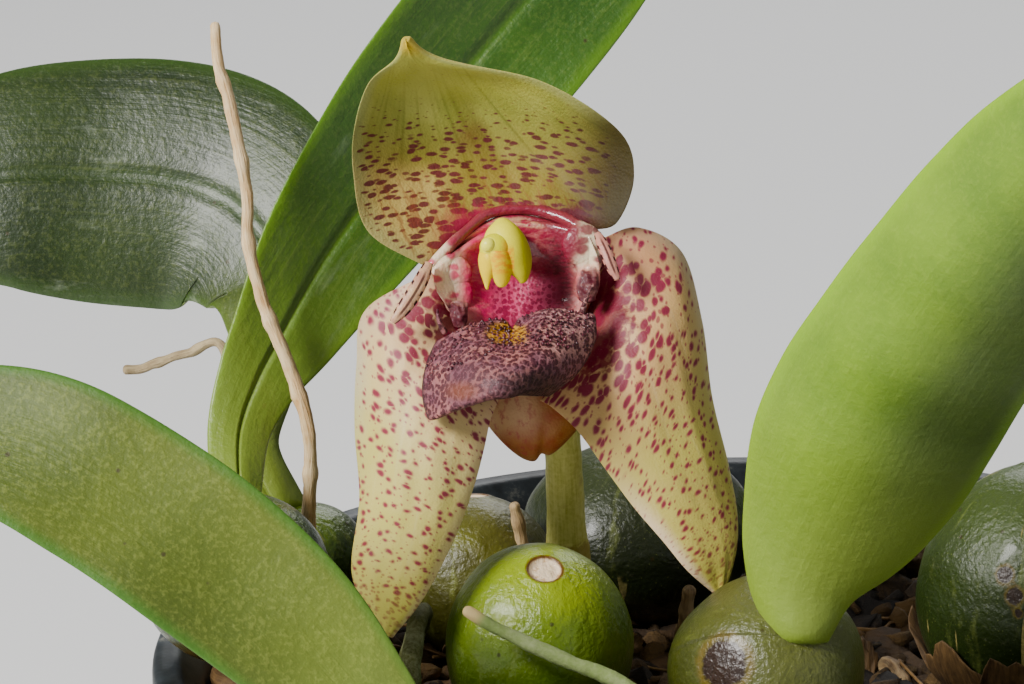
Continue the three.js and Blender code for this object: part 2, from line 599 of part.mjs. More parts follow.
const columnFoot = blade(sepalSurface(COLUMN_FOOT_ROWS, [0, 0]), evenBlade(0.9), 8, 8);
const petals = Object.entries(PETALS).map(([side, petal]) => [side, petalGeometry(petal)]);
const petalShapes = petals.map((entry) => entry[1]);
const column = columnGeometry();
const anther = pebble(ANTHER.at, ANTHER.radii, () => 1, 10, 7);
const mentum = carve(mentumGeometry(), [columnFoot]);
const ovary = carve(rod(OVARY_POINTS, (t) => profile(OVARY_RADII, t), 8, 8), [columnFoot, mentum]);
const lip = carve(lipGeometry(), [columnFoot, ...petalShapes]);
const sepalBlade = (rows, curl) => blade(sepalSurface(rows, curl), evenBlade(SEPAL_THICKNESS), 8, 10);
const throat = [columnFoot, mentum, ovary, lip, ...petalShapes];
const leftSepal = carve(sepalBlade(LEFT_ROWS, [0.5, 0]), throat);
const rightSepal = carve(sepalBlade(RIGHT_ROWS, [0, 0.5]), [...throat, leftSepal]);
const dorsalSepal = carve(sepalBlade(DORSAL_ROWS, [0, 0]), [...throat, leftSepal, rightSepal, column]);

place('ovary', ovary, 'scape', flower);
place('column_foot', carve(columnFoot, [column, ...petalShapes]), 'throat', flower);
place('mentum', mentum, 'mentum', flower);
place('column', carve(column, [anther, columnFoot]), 'column', flower);
place('anther_cap', anther, 'anther', flower);
place('lip', lip, 'lip', flower, 0.7);
petals.forEach(([side, geometry]) => place(`petal_${side}`, geometry, 'petal', flower));
place('sepal_dorsal', dorsalSepal, 'sepal', flower);
place('sepal_left', leftSepal, 'sepal', flower);
place('sepal_right', rightSepal, 'sepal', flower);

export default plant;
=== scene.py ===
# A potted orchid: round pseudobulbs with leathery leaves in a round pot, and one flower with spotted sepals.
#
# Sizes are millimetres until a mesh is made. The plant's heights are above the pot's rim. The flower has its
# own frame: x to its right, y up along its face and z out of its face.

import json
import math

import bmesh
import bpy
import numpy as np
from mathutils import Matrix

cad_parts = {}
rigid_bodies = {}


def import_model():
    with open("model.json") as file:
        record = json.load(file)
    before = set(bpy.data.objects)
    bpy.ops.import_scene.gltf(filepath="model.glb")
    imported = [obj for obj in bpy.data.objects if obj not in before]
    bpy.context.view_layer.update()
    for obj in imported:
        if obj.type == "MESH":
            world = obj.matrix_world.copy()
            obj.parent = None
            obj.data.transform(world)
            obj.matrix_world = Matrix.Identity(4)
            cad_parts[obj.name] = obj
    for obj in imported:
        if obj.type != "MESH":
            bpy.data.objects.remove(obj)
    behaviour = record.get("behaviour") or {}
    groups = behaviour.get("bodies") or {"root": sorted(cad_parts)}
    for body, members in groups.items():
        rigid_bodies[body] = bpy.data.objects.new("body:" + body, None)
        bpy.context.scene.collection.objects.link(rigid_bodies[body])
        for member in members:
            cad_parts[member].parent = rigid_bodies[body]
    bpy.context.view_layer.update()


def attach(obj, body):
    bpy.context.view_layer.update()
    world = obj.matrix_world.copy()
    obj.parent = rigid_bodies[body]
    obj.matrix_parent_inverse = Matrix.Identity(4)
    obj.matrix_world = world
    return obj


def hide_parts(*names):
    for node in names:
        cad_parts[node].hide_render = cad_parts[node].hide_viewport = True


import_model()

MM = 0.001

# The sizes that the solids have too.
POT_HEIGHT = 62
RIM_RADIUS = 40
FOOT_RADIUS = 27.5
WALL = 1.7
FLOOR = 2
BAND_HEIGHT = 8
BAND_STEP = 1.6
DRAIN_HOLES = 6
DRAIN_RADIUS = 3.6
DRAIN_CIRCLE = 17

GAP = 0.3
MEDIUM_BELOW_RIM = 3.2
MEDIUM_MOUND = 1.2
RHIZOME_RADIUS = 1.2
RHIZOME_SINK = 0.1

FLOWER_AT = (-16.9, -6.4, 27.1)
FLOWER_TILT = math.radians(73.8)
SEPAL_THICKNESS = 0.8
LIP_THICKNESS = 1.2
LEAF_THICKNESS = 1.3
PETIOLE_THICKNESS = 2.4

# How fine the pieces are: faces round the pot, the medium and a bulb, and a bulb's rings.
POT_FACES = 180
DRILL_FACES = 48
MEDIUM_FACES = 144
BULB_FACES = 144
BULB_RINGS = 110
LEAF_ACROSS = 60
LEAF_ALONG = 120
SHARP_ANGLE = math.radians(40)

# The photograph's view: its camera above the rim, its focal length in pixels and its width in pixels.
CAMERA_AT = (-17.1, -268.0, 98.1)
CAMERA_TILT = 0.28301751
FOCAL_PIXELS = 4455
PHOTO_WIDTH = 1024
SENSOR = 36
FLOOR_SIZE = 8  # In metres.
SKY = (0.9, 0.93, 1.0, 1)
SKY_STRENGTH = 0.2


# Curves and surfaces.

def unit(vectors):
    vectors = np.asarray(vectors, float)
    return vectors / np.maximum(np.linalg.norm(vectors, axis=-1, keepdims=True), 1e-12)


def step_and_rest(place, count):
    """Which stretch between count points a place is in, and how far along it."""
    k = np.minimum(np.floor(place).astype(int), count - 2)
    return k, (place - k)[..., None]


def padded(points):
    """The points with one more at either end."""
    return np.concatenate([[2 * points[0] - points[1]], points, [2 * points[-1] - points[-2]]])


def bent(a, b, c, d, u):
    """From b at u = 0 to c at u = 1, smooth towards a and d."""
    return 0.5 * (2 * b + (c - a) * u + (2 * a - 5 * b + 4 * c - d) * u**2 + (3 * b - a - 3 * c + d) * u**3)


def spline(points, t):
    """The smooth line through the points, at t from 0 to 1."""
    points = np.asarray(points, float)
    k, u = step_and_rest(np.clip(t, 0, 1) * (len(points) - 1), len(points))
    near = padded(points)
    return bent(*(near[k + i] for i in range(4)), u)


def profile(values, t):
    return spline(np.asarray(values, float)[:, None], np.asarray(t, float))[..., 0]


def tapering(values):
    return lambda t: profile(values, t)


def line_lengths(points):
    places = np.linspace(0, 1, 401)
    steps = np.linalg.norm(np.diff(spline(points, places), axis=0), axis=1)
    return places, np.concatenate([[0], np.cumsum(steps)])


def even_line(points, t):
    """The same line, with t as a share of its length."""
    places, lengths = line_lengths(points)
    return spline(points, np.interp(np.asarray(t) * lengths[-1], lengths, places))


def direction(points, t):
    step = 2e-3
    return unit(even_line(points, np.minimum(t + step, 1)) - even_line(points, np.maximum(t - step, 0)))


def blend(a, b, share):
    return a + (b - a) * share


def ripple(where, wavelength, seed, waves=14):
    """Smooth random waves from about -1 to 1 over places in millimetres."""
    random = np.random.default_rng(seed)
    turns = unit(random.normal(size=(waves, where.shape[-1]))) * (2 * math.pi / wavelength)
    turns *= random.uniform(0.6, 1.6, (waves, 1))
    return np.sin(where @ turns.T + random.uniform(0, 2 * math.pi, waves)).sum(-1) / math.sqrt(waves)


def rowed_sheet(rows, curl=(0, 0)):
    """The surface through rows of three points: left margin, middle and right margin."""
    left, middle, right = np.swapaxes(np.array(rows, float), 0, 1)

    def surface(s, t):
        share = s[..., None]
        point = spline(left, t) * share * (share - 1) / 2
        point += spline(middle, t) * (1 - share**2)
        point += spline(right, t) * share * (share + 1) / 2
        edge = np.maximum(0, np.abs(s) - 0.6) / 0.4
        point[..., 2] -= np.where(s < 0, curl[0], curl[1]) * edge**2 * np.sin(math.pi * t)
        return point

    return surface


def netted_sheet(rows):
    """The smooth surface through rows of any number of points each."""
    lines = np.swapaxes(np.array(rows, float), 0, 1)

    def surface(s, t):
        k, u = step_and_rest(np.clip((s + 1) / 2, 0, 1) * (len(lines) - 1), len(lines))
        near = padded(np.stack([spline(line, t) for line in lines]))
        return bent(*(np.take_along_axis(near, (k + i)[None, ..., None], 0)[0] for i in range(4)), u)

    return surface


# Shapes: points in millimetres, four-sided faces, and marks, which the finishes read at each point.

class Shape:
    def __init__(self, points, quads, marks=None):
        self.points = points
        self.quads = quads
        self.marks = marks or {}

    def moved(self, place):
        return Shape(place(self.points), self.quads, self.marks)


def ring_quads(rings, around):
    ring = np.arange(rings - 1)[:, None] * around
    here = np.arange(around)[None, :]
    after = (here + 1) % around
    corners = [ring + here, ring + after, ring + around + after, ring + around + here]
    return np.stack(corners, -1).reshape(-1, 4)


def joined(shapes):
    offset = 0
    quads = []
    for shape in shapes:
        quads.append(shape.quads + offset)
        offset += len(shape.points)
    marks = {}
    for name in shapes[0].marks:
        marks[name] = np.concatenate([shape.marks[name] for shape in shapes])
    return Shape(np.concatenate([shape.points for shape in shapes]), np.concatenate(quads), marks)


BULGE = 0.55  # Half of a sheet's width over its curve, as a share of its straight width.


def blade(surface, thickness, across, along, relief=None, face=1):
    """A closed sheet with rounded margins round surface(s, t). Face is -1 if it faces the other way."""
    turn = np.linspace(0, 2 * math.pi, 2 * across, endpoint=False)
    ends = np.array([0, 0.0015, 0.005, 0.01])
    t = np.concatenate([ends, np.linspace(0.018, 0.982, along), 1 - ends[::-1]])
    side = np.where(turn < math.pi, 1.0, -1.0)[None, :] * np.ones((len(t), 1))
    s, t = np.meshgrid(-np.cos(turn), t)
    step = 1e-3
    along_s = surface(s + step, t) - surface(s - step, t)
    along_t = surface(s, np.minimum(t + step, 1)) - surface(s, np.maximum(t - step, 0))
    normal = unit(np.cross(along_s, along_t))
    rounding = np.sqrt(np.maximum(0, 1 - s**6)) * np.sqrt(np.maximum(0, 1 - (2 * t - 1) ** 60))
    half = thickness(s, t) / 2
    if relief is not None:
        half = half + relief(s, t, side * face)
    points = surface(s, t) + normal * (side * half * rounding)[..., None]
    middle = surface(np.zeros_like(t[:, 0]), t[:, 0])
    length = np.concatenate([[0], np.cumsum(np.linalg.norm(np.diff(middle, axis=0), axis=1))])
    margin = np.ones_like(t[:, 0])
    width = np.linalg.norm(surface(margin, t[:, 0]) - surface(-margin, t[:, 0]), axis=1)
    place = np.stack([s * width[:, None] * BULGE, length[:, None] + 0 * s, side * face], -1)
    share = np.stack([s, t, side * face], -1)
    flat = points.reshape(-1, 3)
    marks = {"place": place.reshape(-1, 3), "share": share.reshape(-1, 3), "own": flat}
    return Shape(flat, ring_quads(len(t), 2 * across), marks)


def rod(points, radius, around, rings, bumps=None):
    """A closed round rod along a line, with radius(t) and rounded ends."""
    ends = np.array([0, 0.0, 0.002, 0.006, 0.012])
    t = np.concatenate([ends, np.linspace(0.02, 0.98, rings), 1 - ends[::-1]])
    line = even_line(points, t)
    ways = direction(points, t)
    side = np.zeros_like(ways)
    start = np.cross(ways[0], [0.31, 0.2, 0.93])
    for k, way in enumerate(ways):
        start = unit(start - way * (start @ way))
        side[k] = start
    other = np.cross(ways, side)
    turn = np.linspace(0, 2 * math.pi, around, endpoint=False)
    size = radius(t)
    length = line_lengths(points)[1][-1]
    near = np.minimum(t, 1 - t) * length
    size = size * np.sqrt(np.clip(near / np.maximum(size, 1e-6), 0, 1) * (2 - np.clip(near / size, 0, 1)))
    size[[0, -1]] = 0
    size = size[:, None] * np.ones((1, around))
    if bumps is not None:
        size = size * (1 + bumps(t[:, None] * length, turn[None, :]))
    circle = side[:, None] * np.cos(turn)[None, :, None] + other[:, None] * np.sin(turn)[None, :, None]
    made = line[:, None] + circle * size[..., None]
    around_it = turn[None, :] + 0 * size
    along_it = t[:, None] + 0 * size
    place = np.stack([around_it * size.max(), along_it * length, np.ones_like(size)], -1)
    share = np.stack([np.cos(around_it), along_it, np.sin(around_it)], -1)
    flat = made.reshape(-1, 3)
    marks = {"place": place.reshape(-1, 3), "share": share.reshape(-1, 3), "own": flat}
    return Shape(flat, ring_quads(len(t), around), marks)


def ball(place, around, rings):
    """A closed ball: place(directions) gives its points."""
    fall = np.linspace(0, math.pi, rings)[:, None]
    turn = np.linspace(0, 2 * math.pi, around, endpoint=False)[None, :]
    ways = np.stack([np.sin(fall) * np.cos(turn), np.sin(fall) * np.sin(turn), np.cos(fall) + 0 * turn], -1)
    ways = ways.reshape(-1, 3)
    points, marks = place(ways)
    return Shape(points, ring_quads(rings, around), marks)


def lathe(outline, around):
    """A closed turned body: the outline runs from axis to axis."""
    outline = np.array(outline, float)
    turn = np.linspace(0, 2 * math.pi, around, endpoint=False)
    radius = outline[:, :1]
    height = outline[:, 1:] + 0 * turn
    points = np.stack([radius * np.cos(turn), radius * np.sin(turn), height], -1).reshape(-1, 3)
    return Shape(points, ring_quads(len(outline), around))


def filleted(corners):
    """A finer outline: corners are (radius, height, rounding), and each corner becomes an arc."""
    fine = []
    for k, (x, y, size) in enumerate(corners):
        here = np.array([x, y], float)
        if size == 0:
            fine.append(here)
            continue
        before = unit(np.array(corners[k - 1][:2], float) - here) * size
        after = unit(np.array(corners[k + 1][:2], float) - here) * size
        for share in np.linspace(0, 1, 7):
            fine.append(here + before * (1 - share) ** 2 + after * share**2)
    return fine


def in_plant(points):
    return points + np.array([0, 0, POT_HEIGHT])


def in_flower(points):
    x, y, z = np.moveaxis(points, -1, 0)
    back = y * math.cos(FLOWER_TILT) - z * math.sin(FLOWER_TILT)
    rise = y * math.sin(FLOWER_TILT) + z * math.cos(FLOWER_TILT)
    return in_plant(np.stack([x, back, rise], -1) + np.array(FLOWER_AT))


# Pieces.

def mesh_of(name, shape):
    """A closed mesh with merged seams and poles and its faces outwards."""
    mesh = bpy.data.meshes.new(name)
    mesh.vertices.add(len(shape.points))
    mesh.vertices.foreach_set("co", (shape.points * MM).astype(np.float32).ravel())
    mesh.loops.add(len(shape.quads) * 4)
    mesh.loops.foreach_set("vertex_index", shape.quads.astype(np.int32).ravel())
    mesh.polygons.add(len(shape.quads))
    mesh.polygons.foreach_set("loop_start", np.arange(0, len(shape.quads) * 4, 4, dtype=np.int32))
    mesh.update(calc_edges=True)
    for mark, values in shape.marks.items():
        layer = mesh.attributes.new(mark, "FLOAT_VECTOR", "POINT")
        layer.data.foreach_set("vector", values.astype(np.float32).ravel())
    work = bmesh.new()
    work.from_mesh(mesh)
    bmesh.ops.remove_doubles(work, verts=work.verts, dist=1e-7)
    bmesh.ops.dissolve_degenerate(work, edges=work.edges, dist=1e-8)
    if work.calc_volume(signed=True) < 0:
        bmesh.ops.reverse_faces(work, faces=work.faces)
    work.to_mesh(mesh)
    work.free()
    return mesh


def dress(piece, finish, nodes=()):
    """Gives a piece its finish and its place in the frame."""
    piece.data.materials.clear()
    piece.data.materials.append(finish)
    piece.data.polygons.foreach_set("use_smooth", np.ones(len(piece.data.polygons), bool))
    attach(piece, "root")
    if nodes:
        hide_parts(*nodes)
    return piece


def shown(name, data):
    """A new object in the scene."""
    holder = bpy.data.objects.new(name, data)
    bpy.context.scene.collection.objects.link(holder)
    return holder


def settle(piece, modifier):
    """Makes what the modifier gives the piece's own plain mesh."""
    bpy.context.view_layer.update()
    made = bpy.data.meshes.new_from_object(piece.evaluated_get(bpy.context.evaluated_depsgraph_get()))
    piece.modifiers.remove(modifier)
    piece.data = made


def put(name, shape, finish, nodes=()):
    return dress(shown(name, mesh_of(name, shape)), finish, nodes)


def stand_in(node, shape, frame_of, finish):
    """The piece for the node of its own name, moved from the plant's or the flower's frame."""
    put(node, shape.moved(frame_of), finish, [node])


# Node trees.

def math_node(operation, swapped=False):
    """A method of Value: it adds a Math node over the value and what it is given."""
    def method(self, *others):
        values = (*others, self) if swapped else (self, *others)
        return self.tree.add("ShaderNodeMath", {"operation": operation}, dict(enumerate(values)))
    return method


class Value:
    """A socket of a node tree. Expressions on it add Math nodes."""

    def __init__(self, tree, socket):
        self.tree = tree
        self.socket = socket

    __add__ = __radd__ = math_node("ADD")
    __sub__ = math_node("SUBTRACT")
    __rsub__ = math_node("SUBTRACT", swapped=True)
    __mul__ = __rmul__ = math_node("MULTIPLY")
    __truediv__ = math_node("DIVIDE")
    __abs__ = math_node("ABSOLUTE")
    least = math_node("MINIMUM")
    most = math_node("MAXIMUM")
    sine = math_node("SINE")

    def __neg__(self):
        return self * -1

    def rise(self, start, end):
        """0 at start, 1 at end and smooth between; start may be the larger."""
        settings = {"interpolation_type": "SMOOTHSTEP"}
        return self.tree.add("ShaderNodeMapRange", settings, {0: self, 1: start, 2: end})

    def beside(self, output):
        """Another output of the same node."""
        return Value(self.tree, self.socket.node.outputs[output])


class Tree:
    """A node tree, with one method that adds any node."""

    def __init__(self, tree):
        self.tree = tree
        self.tree.nodes.clear()

    def add(self, kind, settings=None, values=None, output=0):
        node = self.tree.nodes.new(kind)
        for name, setting in (settings or {}).items():
            setattr(node, name, setting)
        for name, value in (values or {}).items():
            if isinstance(value, Value):
                self.tree.links.new(value.socket, node.inputs[name])
            else:
                node.inputs[name].default_value = value
        return Value(self, node.outputs[output] if len(node.outputs) else None)


DEPTH = 0.78
RICHNESS = 1.3


def tone(red, green, blue):
    """A colour given from 0 to 255 as it looks in the light; its paint is deeper and richer than that."""
    paint = [((c / 255 + 0.055) / 1.055) ** 2.4 for c in (red, green, blue)]
    grey = 0.2126 * paint[0] + 0.7152 * paint[1] + 0.0722 * paint[2]
    return (*[max(0.001, DEPTH * (grey + (c - grey) * RICHNESS)) for c in paint], 1)


class Finish(Tree):
    """One material. It keeps the colour so far, and paint() goes over it."""

    def __init__(self, name):
        self.material = bpy.data.materials.new(name)
        self.material.use_nodes = True
        self.colour = None
        super().__init__(self.material.node_tree)

    def mark(self, name):
        """A mark: own and place are in millimetres, share runs between the margins and from foot to tip."""
        return self.add("ShaderNodeAttribute", {"attribute_name": name}, output="Vector")

    def object_place(self):
        """The place on the object in millimetres."""
        return self.scaled(self.add("ShaderNodeTexCoord", output="Object"), (1000, 1000, 1000))

    def parts(self, vector):
        first = self.add("ShaderNodeSeparateXYZ", values={0: vector})
        return first, first.beside(1), first.beside(2)

    def vector(self, x, y, z):
        return self.add("ShaderNodeCombineXYZ", values={0: x, 1: y, 2: z})

    def scaled(self, vector, by):
        return self.add("ShaderNodeVectorMath", {"operation": "MULTIPLY"}, {0: vector, 1: by})

    def moved(self, vector, by):
        return self.add("ShaderNodeVectorMath", {"operation": "ADD"}, {0: vector, 1: by})

    def reach(self, vector, point):
        """The distance from a point."""
        settings = {"operation": "DISTANCE"}
        return self.add("ShaderNodeVectorMath", settings, {0: vector, 1: point}, output="Value")

    def ahead(self, x, y, point):
        """The distance from a point, both seen from the front."""
        return self.reach(self.vector(x, y, 0.0), (*point, 0))

    def mixed(self, a, b, share, way="MIX"):
        settings = {"data_type": "RGBA", "blend_type": way}
        return self.add("ShaderNodeMix", settings, {0: share, 6: a, 7: b}, output=2)

    def paint(self, over, share, way="MIX"):
        self.colour = self.mixed(self.colour, over, share, way)

    def noise(self, where, size, detail=2.0, rough=0.5, shift=0.0):
        """Soft noise from 0 to 1, with features of that size in the units of where."""
        moved = self.moved(where, (shift, shift * 1.7, shift * 0.6)) if shift else where
        values = {"Vector": moved, "Scale": 1 / size, "Detail": detail, "Roughness": rough}
        return self.add("ShaderNodeTexNoise", {}, values)

    def wandering(self, where, size, amount):
        """The same places, shifted a little by noise."""
        values = {"Vector": where, "Scale": 1 / size, "Detail": 2.0}
        colour = self.add("ShaderNodeTexNoise", {}, values, output="Color")
        centred = self.moved(colour, (-0.5, -0.5, -0.5))
        return self.moved(where, self.scaled(centred, (2 * amount,) * 3))

    def cells(self, where, size, flat=True):
        settings = {"voronoi_dimensions": "2D" if flat else "3D"}
        return self.add("ShaderNodeTexVoronoi", settings, {"Vector": where, "Scale": 1 / size})

    def spots(self, where, spacing, radius, shift=0.0, soft=0.1, lost=0.0):
        """1 inside scattered spots. Radius is a share of the spacing; lost is the share that is missing."""
        placed = self.moved(where, (shift, shift * 1.3, 0)) if shift else where
        cell = self.cells(placed, spacing)
        red = self.add("ShaderNodeSeparateColor", values={0: cell.beside("Color")})
        size = radius * (red * 0.75 + 0.6)
        kept = red.beside(1).rise(lost, lost + 0.02) if lost else 1.0
        return (size - cell).rise(-soft, soft) * kept

    def bump(self, height, depth, shade_under_fold=None):
        """A normal raised by height, from 0 to 1, times a depth in millimetres."""
        values = {"Height": height, "Distance": depth * MM, "Strength": 1.0}
        if shade_under_fold is not None:
            values["Normal"] = shade_under_fold
        return self.add("ShaderNodeBump", {}, values)

    def surface(self, roughness, normal=None, coat=None, flesh=None, **constants):
        """The finished surface. Flesh is how light goes in: its weight, radius and scale. Flesh and constants
        are set on the shader's own sockets."""
        values = {"Base Color": self.colour, "Roughness": roughness}
        if normal is not None:
            values["Normal"] = normal
        if coat is not None:
            values["Coat Weight"] = coat
        if flesh is not None:
            values.update(zip(("Subsurface Weight", "Subsurface Radius", "Subsurface Scale"), flesh))
        values.update({name.replace("_", " "): value for name, value in constants.items()})
        shader = self.add("ShaderNodeBsdfPrincipled", {}, values)
        self.add("ShaderNodeOutputMaterial", {}, {"Surface": shader})
        return self.material


# Finishes of the pot and what fills it.

def moulded_plastic():
    f = Finish("pot moulded plastic")
    place = f.object_place()
    z = f.parts(place)[2]
    mottle = f.noise(place, 14, 4)
    scuff = f.noise(f.scaled(place, (0.25, 0.25, 2.2)), 2.5, 5, 0.65)
    crust = f.noise(place, 3.2, 6, 0.7, shift=7)
    high = z.rise(POT_HEIGHT - 3, POT_HEIGHT + 0.5)
    low = z.rise(9, 0)
    f.colour = f.mixed(tone(22, 25, 26), tone(36, 40, 41), mottle.rise(0.3, 0.7))
    f.paint(tone(92, 100, 106), high * crust.rise(0.35, 0.75) * 0.6)
    scale = crust.rise(0.56, 0.66) * (high + low).least(1.0)
    f.paint(tone(168, 165, 152), scale * 0.55)
    f.paint(tone(56, 60, 62), scuff.rise(0.55, 0.75) * 0.5)
    roughness = 0.36 + scuff * 0.2 + scale * 0.3
    normal = f.bump(f.noise(place, 0.35, 3), 0.02, f.bump(scuff, 0.03))
    return f.surface(roughness, normal, IOR=1.48)


def bark_skin(name, dark, light, fleck, tear=1.0):
    """Rough layered bark; each chip has its own tone."""
    f = Finish(name)
    place = f.object_place()
    own = f.parts(f.mark("tone"))[0]
    grain = f.noise(f.scaled(place, (1.2, 1.0, 0.45)), 0.7 * tear, 6, 0.7)
    layers = f.noise(f.scaled(place, (0.3, 0.3, 2.2)), 1.1 * tear, 4, 0.6, shift=5)
    patch = f.noise(place, 4, 3, shift=11)
    f.colour = f.mixed(dark, light, (grain * 0.7 + own * 0.75 - 0.2).rise(0.2, 0.95))
    f.paint(fleck, layers.rise(0.56, 0.72) * 0.55)
    f.paint(tone(22, 15, 11), patch.rise(0.5, 0.32) * 0.55)
    normal = f.bump(layers, 0.25, f.bump(grain, 0.22))
    return f.surface(0.86, normal)


# Finishes of the plant.

PALE_STREAK = tone(190, 200, 128)


def bulb_skin(name, dark, light, gloss, yellow, wrinkle, scratched):
    """Firm glossy skin with fine pits, faint lengthwise streaks, an old scar and dark blemishes."""
    f = Finish(name)
    place = f.object_place()
    share = f.mark("share")
    scar, blot, fall = f.parts(f.mark("blemish"))
    height = f.parts(share)[1]
    soft = f.noise(place, 5, 3)
    streaks = f.noise(f.scaled(share, (14, 1.6, 1)), 1.0, 4, 0.6)
    pores = f.cells(place, 0.32, flat=False)
    f.colour = f.mixed(dark, light, (soft * 0.75 + height * 0.55 - 0.12).rise(0.1, 0.9))
    f.paint(tone(170, 175, 40), f.noise(place, 3.5, 2, shift=4).rise(0.5, 0.8) * yellow)
    f.paint(PALE_STREAK, streaks.rise(0.58, 0.78) * 0.28)
    f.paint(PALE_STREAK, pores.rise(0.2, 0.04) * 0.2)
    dust = f.noise(place, 0.9, 6, 0.72, shift=3).rise(0.6, 0.78)
    f.paint(tone(196, 190, 158), dust * 0.18)
    specks = f.cells(f.moved(place, (3, 1, 2)), 2.1, flat=False)
    f.paint(tone(50, 40, 20), specks.rise(0.09, 0.04) * 0.75)
    roughness = 0.34 - gloss + soft * 0.12 + dust * 0.25
    ridges = f.noise(f.scaled(share, (26, 5, 1)), 1.0, 3, 0.6, shift=8)
    normal = f.bump(ridges, 0.07 * wrinkle)
    crinkle = f.noise(f.wandering(place, 0.6, 0.2), 0.42, 3, 0.6, shift=2)
    normal = f.bump(crinkle * (height.rise(-0.1, 0.8) * 0.8 + 0.2), 0.09 * wrinkle, normal)
    normal = f.bump(pores, -0.02, normal)
    if scratched:
        lines = f.noise(f.scaled(share, (30, 1.1, 1)), 1.0, 2, 0.5, shift=14)
        broken = f.noise(place, 2.6, 4, 0.6, shift=9).rise(0.46, 0.6)
        scratch = lines.rise(0.64, 0.67) * broken * scratched
        f.paint(tone(186, 172, 120), scratch * 0.85)
        roughness = roughness + scratch * 0.3
        normal = f.bump(scratch, 0.06, normal)
    edge = scar.rise(1.22, 1.0) * scar.rise(0.72, 0.92)
    inside = scar.rise(0.98, 0.86)
    cork = f.noise(place, 0.5, 4, 0.6, shift=6)
    f.paint(tone(96, 66, 34), edge)
    f.paint(f.mixed(tone(196, 164, 128), tone(246, 226, 198), cork.rise(0.3, 0.5)), inside)
    rot = (blot + (cork - 0.5) * 0.5).rise(1.0, 0.8)
    f.paint(f.mixed(tone(24, 15, 12), tone(58, 40, 30), cork), rot)
    halo = (blot + (cork - 0.5) * 0.4).rise(1.35, 1.0)
    f.paint(tone(112, 92, 48), halo * (1 - rot) * 0.6)
    roughness = roughness + inside * 0.4 + rot * -0.05
    normal = f.bump(cork, 0.12, normal)
    foot = (fall + (cork - 0.5) * 0.3).rise(0.78, 0.95)
    f.paint(tone(116, 92, 58), foot * 0.8)
    flesh = (0.12, (0.8, 1.0, 0.3), 0.001)
    return f.surface(roughness, normal, flesh=flesh, Coat_Weight=0.1, Coat_Roughness=0.12)


def leaf_skin(name, dark, light, rim, gloss, stipple=0.5, painted_sheen=0.0, vein=0.3, dusty=0.35, ribbed=1,
              shaded=0.0):
    """Leathery leaf: fine pale stipple, a bright margin, parallel veins and a grooved midrib."""
    f = Finish(name)
    place = f.mark("place")
    across, along, side = f.parts(f.mark("share"))
    solid = f.object_place()
    upper = side.rise(-0.2, 0.2)
    cloud = f.noise(solid, 11, 3, 0.5)
    grainy = f.noise(solid, 0.75, 3, 0.6, shift=3)
    fine = f.noise(solid, 0.26, 2, 0.6, shift=8)
    f.colour = f.mixed(dark, light, (cloud * 0.8 + grainy * 0.15).rise(0.25, 0.7))
    pale = f.mixed(light, tone(190, 198, 130), 0.4)
    f.paint(pale, (grainy * 0.25 + fine * 0.75).rise(0.48, 0.64) * stipple)
    lines = f.noise(f.scaled(place, (1.0, 0.035, 1.0)), 0.5, 3, 0.6, shift=5)
    f.paint(pale, lines.rise(0.55, 0.75) * vein)
    f.paint(dark, lines.rise(0.45, 0.25) * vein)
    edge = abs(across).rise(0.82, 1.0)
    # Painted shade: the side of the leaf away from the lamp is darkened by shaded, and its bright margin
    # fades there.
    f.paint((0.2, 0.2, 0.2, 1), across.rise(-0.5, 0.45) * shaded, "MULTIPLY")
    f.paint(rim, edge * 0.85 * (1 - across.rise(0, 0.4) * shaded * 0.7))
    rib = abs(across).rise(0.09, 0.02) * along.rise(0.95, 0.3)
    f.paint(rim, rib * 0.45 * ribbed)
    f.paint(f.mixed(light, tone(170, 186, 118), 0.55), (1 - upper) * 0.6)
    # Painted sheen: whitish streaks on the upper face stand in for the lamp's reflection.
    white = f.noise(f.scaled(place, (0.5, 0.16, 1)), 1.2, 5, 0.7, shift=12).rise(0.58, 0.8)
    f.paint(tone(206, 214, 196), white * painted_sheen * upper)
    dust = f.noise(solid, 1.6, 7, 0.75, shift=21).rise(0.6, 0.74)
    f.paint(tone(190, 192, 160), dust * 0.16 * dusty)
    specks = f.cells(f.moved(solid, (5, 2, 1)), 3.4, flat=False)
    f.paint(tone(58, 50, 26), specks.rise(0.06, 0.03) * 0.8)
    base = along.rise(0.42, 0.02)
    f.paint(tone(148, 164, 92), base * 0.65)
    roughness = 0.5 - gloss + cloud * 0.12 + dust * 0.15 + (1 - upper) * 0.1
    normal = f.bump(fine, 0.025, f.bump(grainy, 0.07, f.bump(lines, 0.05)))
    flesh = (0.08, (0.5, 0.8, 0.2), 0.001)
    return f.surface(roughness, normal, flesh=flesh, Coat_Weight=0.08, Coat_Roughness=0.25)


def dry_skin(name, dark, light, ring=0.5):
    """Dry tan skin with lengthwise wrinkles and dark joints."""
    f = Finish(name)
    place = f.mark("place")
    solid = f.object_place()
    lines = f.noise(f.scaled(place, (1.6, 0.22, 1)), 0.35, 4, 0.6)
    patch = f.noise(solid, 1.8, 4, 0.6, shift=4)
    f.colour = f.mixed(dark, light, (lines * 0.6 + patch * 0.7 - 0.15).rise(0.2, 0.8))
    run = f.parts(place)[1]
    bands = f.noise(f.vector(0.0, run, 0.0), 3.1, 1, 0.5, shift=2).rise(0.6, 0.72)
    f.paint(dark, bands * ring)
    normal = f.bump(lines, 0.14, f.bump(patch, 0.1))
    return f.surface(0.7, normal)


